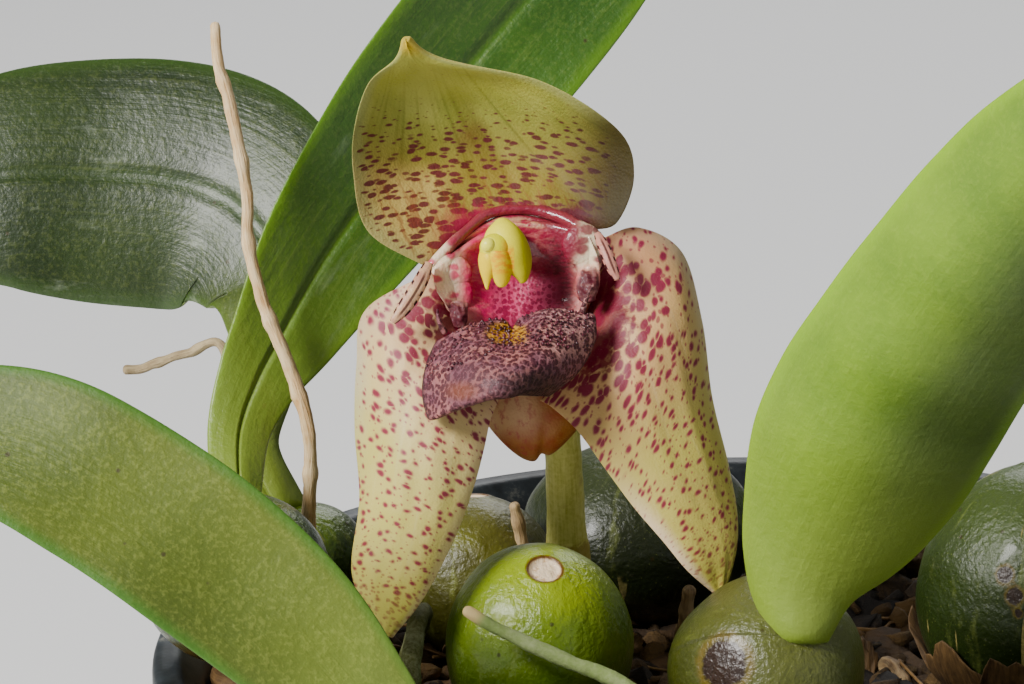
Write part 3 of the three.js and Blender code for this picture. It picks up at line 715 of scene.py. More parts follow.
def root_skin(name, light, tip):
    """Velvety living root: grey-green with a fine felt, and a tip of its own colour."""
    f = Finish(name)
    solid = f.object_place()
    along = f.parts(f.mark("share"))[1]
    felt = f.noise(solid, 0.25, 4, 0.7)
    patch = f.noise(solid, 2.5, 3, shift=3)
    frosted = f.mixed(light, tone(196, 200, 168), 0.5)
    f.colour = f.mixed(light, frosted, (felt * 0.5 + patch * 0.6).rise(0.4, 0.8))
    f.paint(tip, along.rise(0.07, 0.03))
    return f.surface(0.78, f.bump(felt, 0.06), Specular_IOR_Level=0.2)


def scape_skin():
    f = Finish("scape skin")
    solid = f.object_place()
    place = f.mark("place")
    lines = f.noise(f.scaled(place, (1.5, 0.1, 1)), 0.35, 3, 0.6)
    fine = f.noise(solid, 0.3, 3, 0.6, shift=2)
    f.colour = f.mixed(tone(208, 206, 122), tone(250, 246, 178), (lines * 0.6 + fine * 0.5).rise(0.3, 0.75))
    sheath = (f.parts(solid)[2] + (fine - 0.5) * 1.2).rise(POT_HEIGHT + 7.6, POT_HEIGHT + 7.1)
    f.paint(tone(150, 122, 70), sheath * (lines * 0.5 + 0.4))
    f.paint(tone(140, 92, 60), f.noise(solid, 1.6, 4, shift=6).rise(0.62, 0.8) * 0.3)
    normal = f.bump(fine, 0.04, f.bump(lines, 0.06))
    return f.surface(0.45, normal, flesh=(0.15, (0.8, 0.8, 0.3), 0.001))


# Finishes of the flower.

CRIMSON = tone(112, 0, 46)
MAGENTA = tone(146, 0, 62)
WINE = tone(84, 0, 32)


def painted_glints(f, own, amount):
    """Painted glints: pale dots standing in for the shimmer of tiny raised cells."""
    return f.cells(own, 0.16, flat=False).rise(0.12, 0.02) * amount


def petal_surface(f, own, roughness=0.42, relief=1.0, gloss=0.32):
    beads = f.cells(own, 0.17, flat=False)
    normal = f.bump(beads, -0.022 * relief)
    normal = f.bump(f.noise(own, 0.6, 3, 0.6), 0.04 * relief, normal)
    return f.surface(roughness, normal, flesh=(0.15, (1.0, 0.6, 0.4), 0.0003), Specular_IOR_Level=gloss,
                     Coat_Weight=gloss * 0.12, Coat_Roughness=0.3)


def dorsal_finish():
    f = Finish("dorsal sepal skin")
    own = f.mark("own")
    across, along, side = f.parts(f.mark("share"))
    x, y, _ = f.parts(own)
    front = side.rise(-0.2, 0.2)
    cloud = f.noise(own, 3.2, 3)
    f.colour = f.mixed(tone(158, 162, 96), tone(180, 180, 116), cloud.rise(0.3, 0.7))
    rays = f.vector((x + 6.4) / (y * -1 + 15.5) * 9.0, y * 0.05, 0.0)
    veins = f.noise(f.wandering(rays, 1.2, 0.05), 0.62, 2, 0.4)
    f.paint(tone(96, 104, 38), veins.rise(0.52, 0.74) * y.rise(2, 6) * 0.6)
    f.paint(tone(186, 180, 112), veins.rise(0.42, 0.26) * 0.4)
    band = f.ahead(x + y * 0.45, 0.0, (1.1, 0)).rise(1.3, 0.2) * y.rise(12, 8)
    f.paint(tone(104, 92, 36), band * y.rise(3.5, 6) * 0.45)
    f.paint(tone(138, 112, 64), y.rise(9.5, 5.0) * 0.65)
    f.paint(tone(190, 188, 112), y.rise(9.4, 10.8) * 0.4)
    f.paint(tone(222, 196, 140), x.rise(-3.0, -5.2) * y.rise(6.6, 4.6) * 0.6)
    rim = abs(across).rise(0.84, 0.98)
    f.paint(tone(168, 172, 128), rim * 0.55)
    f.paint(tone(204, 172, 62), along.rise(0.86, 0.99) * 0.7)
    fan = f.vector(x * 0.42 + y * 0.1, y + x * 0.06 + x * x * 0.02, 0.0)
    wide = f.wandering(fan, 0.9, 0.16)
    bare = abs(across + 0.04).rise(0.97, 0.86)
    core = abs(x + 0.6).rise(6.4, 3.4)
    dense = y.rise(10.6, 6.4) * bare
    marks = f.spots(wide, 0.46, dense * 0.28 + y.rise(4.4, 2.6) * core * 0.22, soft=0.08, lost=0.06)
    small = f.spots(f.wandering(fan, 0.6, 0.12), 0.34, dense * 0.24, shift=9, lost=0.5)
    blot = f.reach(own, (-2.7, 7.7, -2.6)).rise(1.6, 0.2) * cloud.rise(0.3, 0.6)
    f.paint(tone(110, 50, 40), blot * 0.5)
    ink = f.mixed(tone(96, 0, 46), tone(84, 2, 32), f.noise(own, 1.4, 2, shift=5).rise(0.4, 0.7))
    f.paint(ink, marks.most(small * 0.85) * 0.9)
    between = f.noise(f.vector(x * 2.6 + y * 1.2, y * 0.5, 0.0), 1.0, 3, 0.6, shift=7).rise(0.5, 0.62)
    f.paint(tone(128, 66, 52), between * y.rise(6.2, 3.6) * bare * 0.5)
    flush = (y + (f.noise(f.vector(x * 2.4, y * 0.7, 0.0), 1.3, 3, 0.6) - 0.5) * 2.6)
    near = abs(x - 0.6).rise(6.4, 3.2)
    f.paint(f.mixed(MAGENTA, CRIMSON, x.rise(0, 3)), flush.rise(3.9, 2.7) * near * 0.9)
    f.paint(tone(188, 178, 112), (1 - front) * 0.6)
    # Painted glints: pale dots for the sparkle of the surface.
    f.paint(tone(240, 236, 208), painted_glints(f, own, 0.12))
    # Painted shade: the right side of the face, below the tip, darkened where it turns from the lamp.
    f.paint((0.12, 0.09, 0.035, 1), x.rise(0.5, 6.4) * y.rise(11.5, 8) * front, "MULTIPLY")
    middle = f.ahead(x * 0.4, y, (-0.3, 7.3)).rise(2.6, 0.8)
    f.paint((0.45, 0.40, 0.36, 1), middle * front * 0.4, "MULTIPLY")
    return petal_surface(f, own, 0.62, gloss=0.18)


def lateral_finish(name, light, green, left):
    f = Finish(name)
    own = f.mark("own")
    place = f.mark("place")
    across, along, side = f.parts(f.mark("share"))
    front = side.rise(-0.2, 0.2)
    cloud = f.noise(own, 3.6, 3)
    f.colour = f.mixed(light, green, (cloud * 0.6 + along * 0.55 - 0.1).rise(0.25, 0.85))
    strands = f.noise(f.scaled(place, (0.9, 0.05, 1)), 0.7, 3, 0.5, shift=3)
    f.paint(tone(236, 230, 190), strands.rise(0.56, 0.78) * 0.35)
    outer = (-across if left else across).rise(0.62, 0.98)
    inner = (across if left else -across).rise(0.72, 0.98)
    silver = outer * along.rise(0.62, 0.3)
    f.paint(tone(196, 192, 168), silver * 0.75)
    f.paint(tone(236, 214, 186), inner * (0.45 if left else along.rise(0.4, 0.7) * 0.9))
    wide = f.wandering(f.scaled(place, (0.66, 1.06, 1.0)), 1.3, 0.3)
    throat = f.reach(own, (-1.5 if left else 3.6, -3.4, 1.0))
    close = throat.rise(8.2, 2.4)
    f.paint(tone(236, 192, 164) if left else tone(218, 166, 138), throat.rise(10.5, 4.5) * 0.6)
    thin = along.rise(0.98, 0.8)
    calm = 1 - (silver * 0.6).most(0.0 if left else inner * along.rise(0.4, 0.7) * 0.9)
    high = f.reach(own, (-7.5, -2.5, 0.0) if left else (6.6, 0.0, 0.5)).rise(4.6, 1.2)
    f.paint(tone(192, 136, 112), high * (0.15 if left else 0.5))
    size = (close * 0.25 + 0.24 + high * 0.13) * calm * (1 - along.rise(0.35, 0.9) * 0.22)
    marks = f.spots(wide, 0.64, size, soft=0.14, lost=0.05)
    core = f.spots(wide, 0.64, size * 0.6, soft=0.12, lost=0.05)
    finer = f.wandering(f.scaled(place, (0.8, 1.0, 1.0)), 0.9, 0.2)
    fine = f.spots(finer, 0.42, size * 0.62, shift=5, lost=0.5)
    tiny = f.spots(f.scaled(place, (0.7, 1.0, 1.0)), 0.34, along.rise(0.62, 0.9) * 0.26, shift=13, lost=0.3)
    ink = f.mixed(tone(142, 6, 76), tone(112, 0, 52), close.most(core * 0.7))
    ink = f.mixed(ink, tone(118, 26, 52), along.rise(0.6, 0.95) * 0.8)
    f.paint(ink, marks.most(fine * 0.75) * (thin * 0.5 + 0.44))
    f.paint(ink, tiny * 0.5)
    flush = throat + (f.noise(f.wandering(own, 0.8, 0.3), 0.8, 3, 0.6, shift=4) - 0.5) * 4.2
    f.paint(CRIMSON, flush.rise(3.9, 2.9) * 0.9)
    f.paint(tone(212, 200, 148), (1 - front) * 0.62)
    # Painted glints: pale dots for the sparkle of the surface.
    f.paint(tone(250, 246, 228), painted_glints(f, own, 0.3))
    return petal_surface(f, own, 0.5, 0.6, 0.22)


def throat_finish():
    f = Finish("throat skin")
    own = f.mark("own")
    x, y, z = f.parts(own)
    swirl = f.wandering(own, 0.9, 0.3)
    f.colour = f.mixed(tone(244, 190, 170), tone(226, 130, 136), f.noise(own, 1.6, 3))
    ring = f.ahead(x, y * 0.8, (0.2, -0.6)) + (f.noise(swirl, 1.0, 3, 0.6) - 0.5) * 1.6
    veined = f.noise(f.vector(x * 0.8, y * 2.0, z), 0.7, 3, 0.6, shift=2)
    pink = ring.rise(4.2, 2.8) * (veined.rise(0.66, 0.44) * 0.35 + 0.65)
    # Lighter pink to the left of the column: partly the throat's own colour, partly painted light on the side
    # the lamp reaches.
    rosy = f.mixed(MAGENTA, tone(206, 30, 100), x.rise(0.6, -1.6))
    f.paint(rosy, pink)
    arch = y.rise(1.9, 2.3) * y.rise(2.95, 2.6) * abs(x - 0.3).rise(3.2, 1.6)
    f.paint(tone(222, 184, 150), arch * veined.rise(0.35, 0.55) * 0.8)
    left = x.rise(-2.9, -4.0) * y.rise(-3.6, -1.6)
    right = x.rise(3.0, 3.9) * y.rise(-1.0, 0.2)
    f.paint(tone(255, 234, 206), left.most(right) * 0.92)
    rings = f.spots(f.scaled(swirl, (0.7, 1, 1)), 0.78, left.most(right) * 0.34, soft=0.14)
    f.paint(f.mixed(tone(190, 40, 92), CRIMSON, x.rise(-1, 1)), rings * 0.85)
    # Deep wine with dashes right of the column: partly the throat's own colour, partly painted shade on the
    # side away from the lamp.
    dark = x.rise(1.2, 2.6) * y.rise(2.4, 1.2) * x.rise(3.9, 3.2) * y.rise(-8, -6)
    dashes = f.noise(f.vector(x * 0.7, y * 2.4, 0.0), 0.34, 2, 0.6, shift=6).rise(0.42, 0.56)
    f.paint(f.mixed(WINE, tone(124, 30, 52), dashes), dark * 0.9)
    pale = x.rise(-1.9, -1.0) * x.rise(3.2, 2.0) * y.rise(-0.7, -1.4)
    f.paint(tone(198, 86, 118), pale * y.rise(-4.8, -3.4) * 0.85)
    loose = f.wandering(f.vector(x, y, 0.0), 0.5, 0.1)
    dots = f.spots(loose, 0.3, y.rise(-1.0, -4.0) * 0.22 + 0.3, soft=0.08)
    f.paint(tone(140, 0, 66), dots * pale * 0.95)
    f.paint(WINE, y.rise(-3.2, -4.4) * 0.75)
    film = f.reach(own, (4.5, -1.4, 1.5)).rise(2.0, 1.2).most(f.reach(own, (-3.5, -3.2, 1.9)).rise(1.3, 0.8))
    film = film * z.rise(1.1, 1.3)
    hazy = f.mixed(tone(84, 26, 38), tone(140, 96, 92), veined.rise(0.42, 0.72))
    f.paint(hazy, film)
    crest = f.ahead(x, y, (-0.2, -0.6)).rise(3.2, 3.5)
    crest = crest * y.rise(-0.2, 0.8) * abs(x).rise(4.4, 3.6)
    f.paint(f.mixed(MAGENTA, WINE, 0.45), crest * 0.92)
    # Painted glints: pale dots for the sparkle of the surface.
    f.paint(tone(250, 240, 232), painted_glints(f, own, 0.12))
    normal = f.bump(f.cells(own, 0.2, flat=False), -0.03, f.bump(f.noise(own, 0.8, 3), 0.1))
    shine = y.rise(-1.5, 0.8) * (1 - dark) * (1 - film) * 0.6 + 0.04
    return f.surface(0.44 + dark * 0.1 + film * 0.15, normal, shine, (0.2, (1.0, 0.15, 0.3), 0.0008),
                     Specular_IOR_Level=0.35, Coat_Roughness=0.07)


def lip_finish():
    f = Finish("lip skin")
    own = f.mark("own")
    across = f.parts(f.mark("share"))[0]
    x, y, _ = f.parts(own)
    cloud = f.noise(own, 1.5, 3, 0.6)
    beads = f.cells(f.wandering(own, 0.3, 0.16), 0.29, flat=False)
    ground = f.mixed(tone(170, 118, 114), tone(126, 84, 94), cloud.rise(0.35, 0.65))
    ground = f.mixed(ground, tone(214, 168, 160), x.rise(0.8, 2.6) * y.rise(-6.4, -5.2) * 0.6)
    dark = f.mixed(tone(62, 14, 26), tone(72, 34, 44), cloud.rise(0.35, 0.65))
    f.colour = f.mixed(ground, dark, beads.rise(0.64, 0.44) * 0.9)
    fold = f.ahead(x, y, (-2.6, -7.4)).rise(2.6, 0.8)
    f.paint(tone(98, 66, 72), fold * 0.4)
    # Painted shade under the lip's front fold.
    shade_under_fold = f.ahead(x * 0.55, y, (0.5, -7.6)).rise(1.7, 0.5)
    f.paint(tone(34, 14, 18), shade_under_fold * 0.8)
    notch = (f.ahead(x * 0.5, y, (-0.25, -4.35)) + (cloud - 0.5) * 0.5).rise(0.85, 0.45)
    grainy = f.noise(own, 0.3, 3, 0.6, shift=3)
    gold = f.mixed(tone(198, 152, 70), tone(84, 46, 26), beads.rise(0.54, 0.4))
    f.paint(gold, notch * 0.9)
    tan = f.ahead(x * 0.6, y, (-1.9, -7.8)).rise(0.8, 0.2)
    f.paint(tone(142, 86, 60), tan * 0.45)
    f.paint(tone(48, 24, 28), abs(across).rise(0.93, 1.0) * 0.8)
    normal = f.bump(beads, -0.1, f.bump(grainy, 0.05))
    return f.surface(0.62, normal, flesh=(0.08, (0.8, 0.3, 0.3), 0.0006), Specular_IOR_Level=0.3,
                     Coat_Weight=0.02)


def papilla_finish():
    f = Finish("lip papillae")
    tint = f.noise(f.object_place(), 0.8, 2)
    f.colour = f.mixed(tone(58, 16, 30), tone(110, 48, 62), tint.rise(0.35, 0.7))
    return f.surface(0.22, Coat_Weight=0.4, Coat_Roughness=0.08)


def column_finish():
    f = Finish("column skin")
    own = f.mark("own")
    x, y, z = f.parts(own)
    f.colour = f.mixed((0.86, 0.78, 0.035, 1), (0.72, 0.64, 0.01, 1), f.noise(own, 1.0, 3))
    # Darker yellow-green toward the right: partly the wing's greener colour, partly painted shade on the
    # column's side away from the lamp.
    f.paint((0.30, 0.30, 0.0, 1), x.rise(-0.1, 0.9) * 0.8)
    f.paint((0.48, 0.42, 0.003, 1), y.rise(0.9, -0.6) * x.rise(-0.6, 0) * 0.8)
    face = z.rise(2.78, 2.92).most(x.rise(-1.5, -1.8) * z.rise(2.3, 2.5))
    face = face * x.rise(-0.02, -0.12) * y.rise(1.2, 0.5)
    f.paint((0.78, 0.56, 0.0, 1), face)
    streak = f.noise(f.vector(x * 0.8, y * 1.6, z), 0.4, 3, shift=2)
    middle = y.rise(-0.95, -0.5) * x.rise(-1.7, -1.1) * y.rise(1.0, 0.5)
    f.paint((0.80, 0.26, 0.0, 1), streak.rise(0.36, 0.6) * middle * face * 0.8)
    f.paint((0.90, 0.72, 0.01, 1), y.rise(-1.2, -1.5) * face * 0.7)
    f.paint(MAGENTA, z.rise(0.4, -0.5) * 0.8)
    normal = f.bump(f.noise(own, 0.2, 3, 0.6), 0.02)
    return f.surface(0.42, normal, flesh=(0.15, (1.0, 0.9, 0.1), 0.0004), Specular_IOR_Level=0.15,
                     Coat_Weight=0.02, Coat_Roughness=0.2)


def anther_finish():
    f = Finish("anther cap skin")
    own = f.mark("own")
    x, y, _ = f.parts(own)
    f.colour = f.mixed((0.62, 0.60, 0.0, 1), (0.74, 0.68, 0.0, 1), f.noise(own, 0.5, 3))
    f.paint((0.80, 0.58, 0.0, 1), y.rise(0.7, 0.2) * 0.85)
    f.paint((0.80, 0.36, 0.0, 1), x.rise(-1.0, -0.45) * y.rise(1.5, 1.0) * 0.85)
    knob = f.reach(own, ANTHER_KNOB["at"]).rise(0.52, 0.46)
    f.paint((0.84, 0.80, 0.08, 1), knob)
    normal = f.bump(f.noise(own, 0.15, 3), 0.02)
    return f.surface(0.32, normal, flesh=(0.15, (1.0, 1.0, 0.1), 0.0004), Specular_IOR_Level=0.25,
                     Coat_Weight=0.06, Coat_Roughness=0.15)


def petal_finish():
    """Pale strap with dark dashes along both margins and down its middle."""
    f = Finish("petal skin")
    own = f.mark("own")
    across, along, _ = f.parts(f.mark("share"))
    run = f.parts(f.mark("place"))[1]
    x = f.parts(own)[0]
    f.colour = f.mixed(tone(222, 190, 156), tone(200, 156, 138), f.noise(own, 0.8, 3).rise(0.3, 0.7))
    f.paint(tone(196, 136, 130), x.rise(0, 3) * 0.7)
    dash = (run * 9.0 + across * 2.0 + f.noise(own, 0.5, 2) * 6.0).sine().rise(-0.4, 0.1)
    edge = abs(across).rise(0.5, 0.66)
    middle = abs(across + 0.1).rise(0.2, 0.08) * along.rise(0.1, 0.3) * along.rise(0.95, 0.8)
    f.paint(tone(54, 4, 16), (edge * dash).most(middle * 0.85))
    return petal_surface(f, own, 0.42)


def mentum_finish():
    f = Finish("mentum skin")
    own = f.mark("own")
    x, y, z = f.parts(own)
    cloud = f.noise(own, 1.2, 4, 0.6)
    f.colour = f.mixed(tone(174, 94, 66), tone(190, 134, 90), cloud.rise(0.3, 0.7))
    # Painted light: the upper left of the chin is pale cream where the lamp falls on it.
    f.paint(tone(236, 200, 166), y.rise(-11.4, -9.4) * x.rise(2.4, 0.4) * 0.8)
    f.paint(tone(168, 128, 96), y.rise(-10.8, -12.2) * 0.5)
    stains = f.noise(f.vector(x * 1.6, y * 0.8, z), 0.6, 4, 0.65, shift=3).rise(0.5, 0.66)
    f.paint(tone(176, 40, 76), stains * x.rise(2.6, 0.2) * 0.55)
    return petal_surface(f, own, 0.45)


# The pot.

def inner_radius(height):
    low, high = FOOT_RADIUS - WALL, RIM_RADIUS - BAND_STEP - WALL
    return low + (high - low) * (height - FLOOR) / (POT_HEIGHT - FLOOR)


def pot():
    band_foot = POT_HEIGHT - BAND_HEIGHT
    outline = filleted([
        (0, 0, 0),
        (FOOT_RADIUS - 4, 0, 0.4),
        (FOOT_RADIUS - 3.4, 0.5, 0.3),
        (FOOT_RADIUS - 2.4, 0.5, 0.3),
        (FOOT_RADIUS - 2, 0, 0.4),
        (FOOT_RADIUS, 0, 1.1),
        (RIM_RADIUS - BAND_STEP - 0.5, band_foot, 0.3),
        (RIM_RADIUS, band_foot, 0.6),
        (RIM_RADIUS, POT_HEIGHT, 0.7),
        (RIM_RADIUS - WALL, POT_HEIGHT, 0.35),
        (inner_radius(POT_HEIGHT), POT_HEIGHT - BAND_STEP, 0.4),
        (inner_radius(FLOOR), FLOOR, 1.3),
        (0, FLOOR, 0)])
    piece = shown("pot", mesh_of("pot", lathe(outline, POT_FACES)))
    drills = []
    for k in range(DRAIN_HOLES):
        turn = 2 * math.pi * k / DRAIN_HOLES
        middle = np.array([DRAIN_CIRCLE * math.cos(turn), DRAIN_CIRCLE * math.sin(turn), 0])
        high, low = 3 * FLOOR, -2 * FLOOR
        drill = lathe([(0, low), (DRAIN_RADIUS, low), (DRAIN_RADIUS, high), (0, high)], DRILL_FACES)
        drills.append(Shape(drill.points + middle, drill.quads))
    cutter = shown("drills", mesh_of("drills", joined(drills)))
    cut = piece.modifiers.new("drain holes", "BOOLEAN")
    cut.operation = "DIFFERENCE"
    cut.object = cutter
    settle(piece, cut)
    bpy.data.objects.remove(cutter)
    dress(piece, moulded_plastic(), ["pot"])
    work = bmesh.new()
    work.from_mesh(piece.data)
    sharp = [edge.calc_face_angle(0) > SHARP_ANGLE for edge in work.edges]
    work.free()
    edges = piece.data.attributes.new("sharp_edge", "BOOLEAN", "EDGE")
    edges.data.foreach_set("value", np.array(sharp, bool))


# What repeats: pieces strewn over a ground.

def chunk(seed, long, wide, high, ragged):
    """One rough chip, a few dozen faces."""
    random = np.random.default_rng(seed)

    def place(ways):
        corners = np.sign(ways) * np.abs(ways) ** 0.55
        size = 1 + ragged * ripple(ways * 2, 2.6, seed)
        tilt = random.uniform(-0.3, 0.3, 2)
        points = corners * size[:, None] * np.array([long, wide, high]) / 2
        points[:, 2] += points[:, 0] * tilt[0] + points[:, 1] * tilt[1]
        return points, {}

    return ball(place, around=8, rings=6)


def fibre(seed, length, thick):
    random = np.random.default_rng(seed)
    line = np.cumsum(random.normal(size=(7, 3)) * [1, 1, 0.45] + [1.6, 0, 0], axis=0)
    line = (line - line.mean(0)) * length / 9
    return rod(line, lambda t: thick * (1 - 0.4 * t), around=5, rings=9)


STREWING_INPUTS = {
    "Geometry": ["Ground"],
    "Float": ["Spacing", "Thickness", "Least Size", "Most Size", "Tilt", "Sink", "Roughen"],
    "Int": ["Seed"],
    "Collection": ["Kinds"],
    "Material": ["Finish"],
}
CRUMPLES = 700.0  # Waves a metre of the roughening.
TONE_SEED = 5


class Strewing(Tree):
    """A geometry node tree: strews copies of some kinds over a ground."""

    def __init__(self, name):
        super().__init__(bpy.data.node_groups.new(name, "GeometryNodeTree"))
        self.inputs = {}
        new_socket = self.tree.interface.new_socket
        for kind, titles in STREWING_INPUTS.items():
            for title in titles:
                socket = new_socket(title, in_out="INPUT", socket_type="NodeSocket" + kind)
                self.inputs[title] = socket.identifier
        new_socket("Pieces", in_out="OUTPUT", socket_type="NodeSocketGeometry")
        given = self.add("NodeGroupInput")
        tilt = given.beside("Tilt")
        seed = given.beside("Seed")
        points = self.add("GeometryNodeDistributePointsOnFaces", {"distribute_method": "POISSON"}, {
            "Mesh": given, "Distance Min": given.beside("Spacing"), "Density Max": given.beside("Thickness"),
            "Seed": seed})
        lean = self.add("FunctionNodeRandomValue", {"data_type": "FLOAT_VECTOR"}, {
            0: self.add("ShaderNodeCombineXYZ", {}, {0: -tilt, 1: -tilt, 2: -math.pi}),
            1: self.add("ShaderNodeCombineXYZ", {}, {0: tilt, 1: tilt, 2: math.pi}),
            "Seed": seed})
        size = self.add("FunctionNodeRandomValue", {"data_type": "FLOAT"}, {
            2: given.beside("Least Size"), 3: given.beside("Most Size"), "Seed": seed}, output=1)
        kinds = self.add("GeometryNodeCollectionInfo", {}, {
            "Collection": given.beside("Kinds"), "Separate Children": True, "Reset Children": True})
        turned = self.add("FunctionNodeRotateRotation", {"rotation_space": "LOCAL"}, {
            0: points.beside("Rotation"), 1: self.add("FunctionNodeEulerToRotation", {}, {0: lean})})
        copies = self.add("GeometryNodeInstanceOnPoints", {}, {
            "Points": points, "Instance": kinds, "Pick Instance": True, "Rotation": turned, "Scale": size})
        sunk = self.add("GeometryNodeTranslateInstances", {}, {
            "Instances": copies,
            "Translation": self.add("ShaderNodeCombineXYZ", {}, {2: given.beside("Sink")}),
            "Local Space": False})
        values = {2: 0.0, 3: 1.0, "Seed": TONE_SEED}
        own = self.add("FunctionNodeRandomValue", {"data_type": "FLOAT"}, values, output=1)
        settings = {"data_type": "FLOAT_VECTOR", "domain": "INSTANCE"}
        toned = self.add("GeometryNodeStoreNamedAttribute", settings, {
            "Geometry": sunk, "Name": "tone", "Value": self.add("ShaderNodeCombineXYZ", {}, {0: own})})
        real = self.add("GeometryNodeRealizeInstances", {}, {0: toned})
        values = {"Vector": self.add("GeometryNodeInputPosition"), "Scale": CRUMPLES, "Detail": 2.0}
        crumple = self.add("ShaderNodeTexNoise", {}, values, output="Color")
        centred = self.add("ShaderNodeVectorMath", {"operation": "SUBTRACT"}, {
            0: crumple, 1: (0.5, 0.5, 0.5)})
        shift = self.add("ShaderNodeVectorMath", {"operation": "SCALE"}, {
            0: centred, "Scale": given.beside("Roughen")})
        rough = self.add("GeometryNodeSetPosition", {}, {"Geometry": real, "Offset": shift})
        values = {"Geometry": rough, "Material": given.beside("Finish")}
        self.add("NodeGroupOutput", {}, {0: self.add("GeometryNodeSetMaterial", {}, values)})


def strewn(name, tree, ground, kinds, finish, slot, **sizes):
    """A piece of many copies over a ground shape."""
    store = bpy.data.collections.new(name + "_kinds")
    for k, kind in enumerate(kinds):
        store.objects.link(bpy.data.objects.new(f"{name}_kind_{k}", mesh_of(f"{name}_kind_{k}", kind)))
    carrier = shown(name, mesh_of(name + "_ground", ground))
    modifier = carrier.modifiers.new("strewing", "NODES")
    modifier.node_group = tree.tree
    for title, value in {"Kinds": store, "Finish": finish, **sizes}.items():
        modifier[tree.inputs[title.replace("_", " ")]] = value
    settle(carrier, modifier)
    for part in list(store.objects):
        bpy.data.objects.remove(part)
    bpy.data.collections.remove(store)
    return dress(carrier, finish)


CORE_DROP = 1.2
GROUND_DROP = 0.4
UNEVEN_TOP = 8  # How far down the medium's top is uneven.


def medium_outline(drop):
    top = POT_HEIGHT - MEDIUM_BELOW_RIM - drop
    return [
        (0, FLOOR + GAP, 0),
        (inner_radius(FLOOR) - 1.8, FLOOR + GAP, 0.8),
        (inner_radius(FLOOR + 2.4) - GAP, FLOOR + 2.4, 0.6),
        (inner_radius(top) - GAP, top, 0.8),
        (inner_radius(top) * 0.6, top + MEDIUM_MOUND * 0.7, 3),
        (0, top + MEDIUM_MOUND, 0)]


def medium(strewing):
    bark = bark_skin("bark chips", tone(24, 18, 12), tone(88, 66, 42), tone(118, 92, 62))
    core = lathe(filleted(medium_outline(CORE_DROP)), MEDIUM_FACES)
    lumps = ripple(core.points, 5, 3) * 0.45
    high = core.points[:, 2] > POT_HEIGHT - UNEVEN_TOP
    inside = np.hypot(core.points[:, 0], core.points[:, 1]) < inner_radius(POT_HEIGHT - 6) - 1
    core.points[:, 2] += np.where(high & inside, lumps, 0)
    core.marks["tone"] = np.full_like(core.points, 0.25)
    put("growing_medium", core, bark, ["growing_medium"])
    top = POT_HEIGHT - MEDIUM_BELOW_RIM - GROUND_DROP

    def ground(reach):
        rings = [(0, top + MEDIUM_MOUND * 0.8), (reach * 0.6, top + MEDIUM_MOUND * 0.5), (reach, top)]
        turn = np.linspace(0, 2 * math.pi, 49)[:-1]
        points = [np.stack([r * np.cos(turn), r * np.sin(turn), 0 * turn + h], -1) for r, h in rings]
        return Shape(np.concatenate(points), ring_quads(3, 48)[:, ::-1])

    inner = inner_radius(top) - GAP
    large = [chunk(k, 5.0, 3.2, 2.0, 0.2) for k in range(6)]
    strewn("bark_chips", strewing, ground(inner - 2.8), large, bark, "bark", Spacing=2.5 * MM,
           Thickness=230000.0, Least_Size=0.6, Most_Size=1.15, Tilt=0.45, Sink=0.1 * MM,
           Roughen=0.9 * MM, Seed=4)
    small = [chunk(20 + k, 2.6, 1.9, 1.3, 0.2) for k in range(6)]
    grit = bark_skin("bark crumbs", tone(34, 26, 18), tone(116, 92, 62), tone(160, 136, 100), 0.6)
    strewn("bark_crumbs", strewing, ground(inner - 1.5), small, grit, "bark", Spacing=1.5 * MM,
           Thickness=520000.0, Least_Size=0.45, Most_Size=1.2, Tilt=1.2, Sink=0.75 * MM,
           Roughen=0.5 * MM, Seed=8)
    straw = dry_skin("dry fibres", tone(96, 68, 42), tone(178, 146, 104))
    threads = [fibre(40 + k, 9 + 2 * (k % 4), 0.16) for k in range(9)]
    strewn("dry_fibres", strewing, ground(inner - 5), threads, straw, "dry_root", Spacing=4.4 * MM,
           Thickness=60000.0, Least_Size=0.5, Most_Size=1.1, Tilt=0.25, Sink=1.2 * MM, Roughen=0.0, Seed=12)


# The pseudobulbs. Those with no leaf end in a scar.

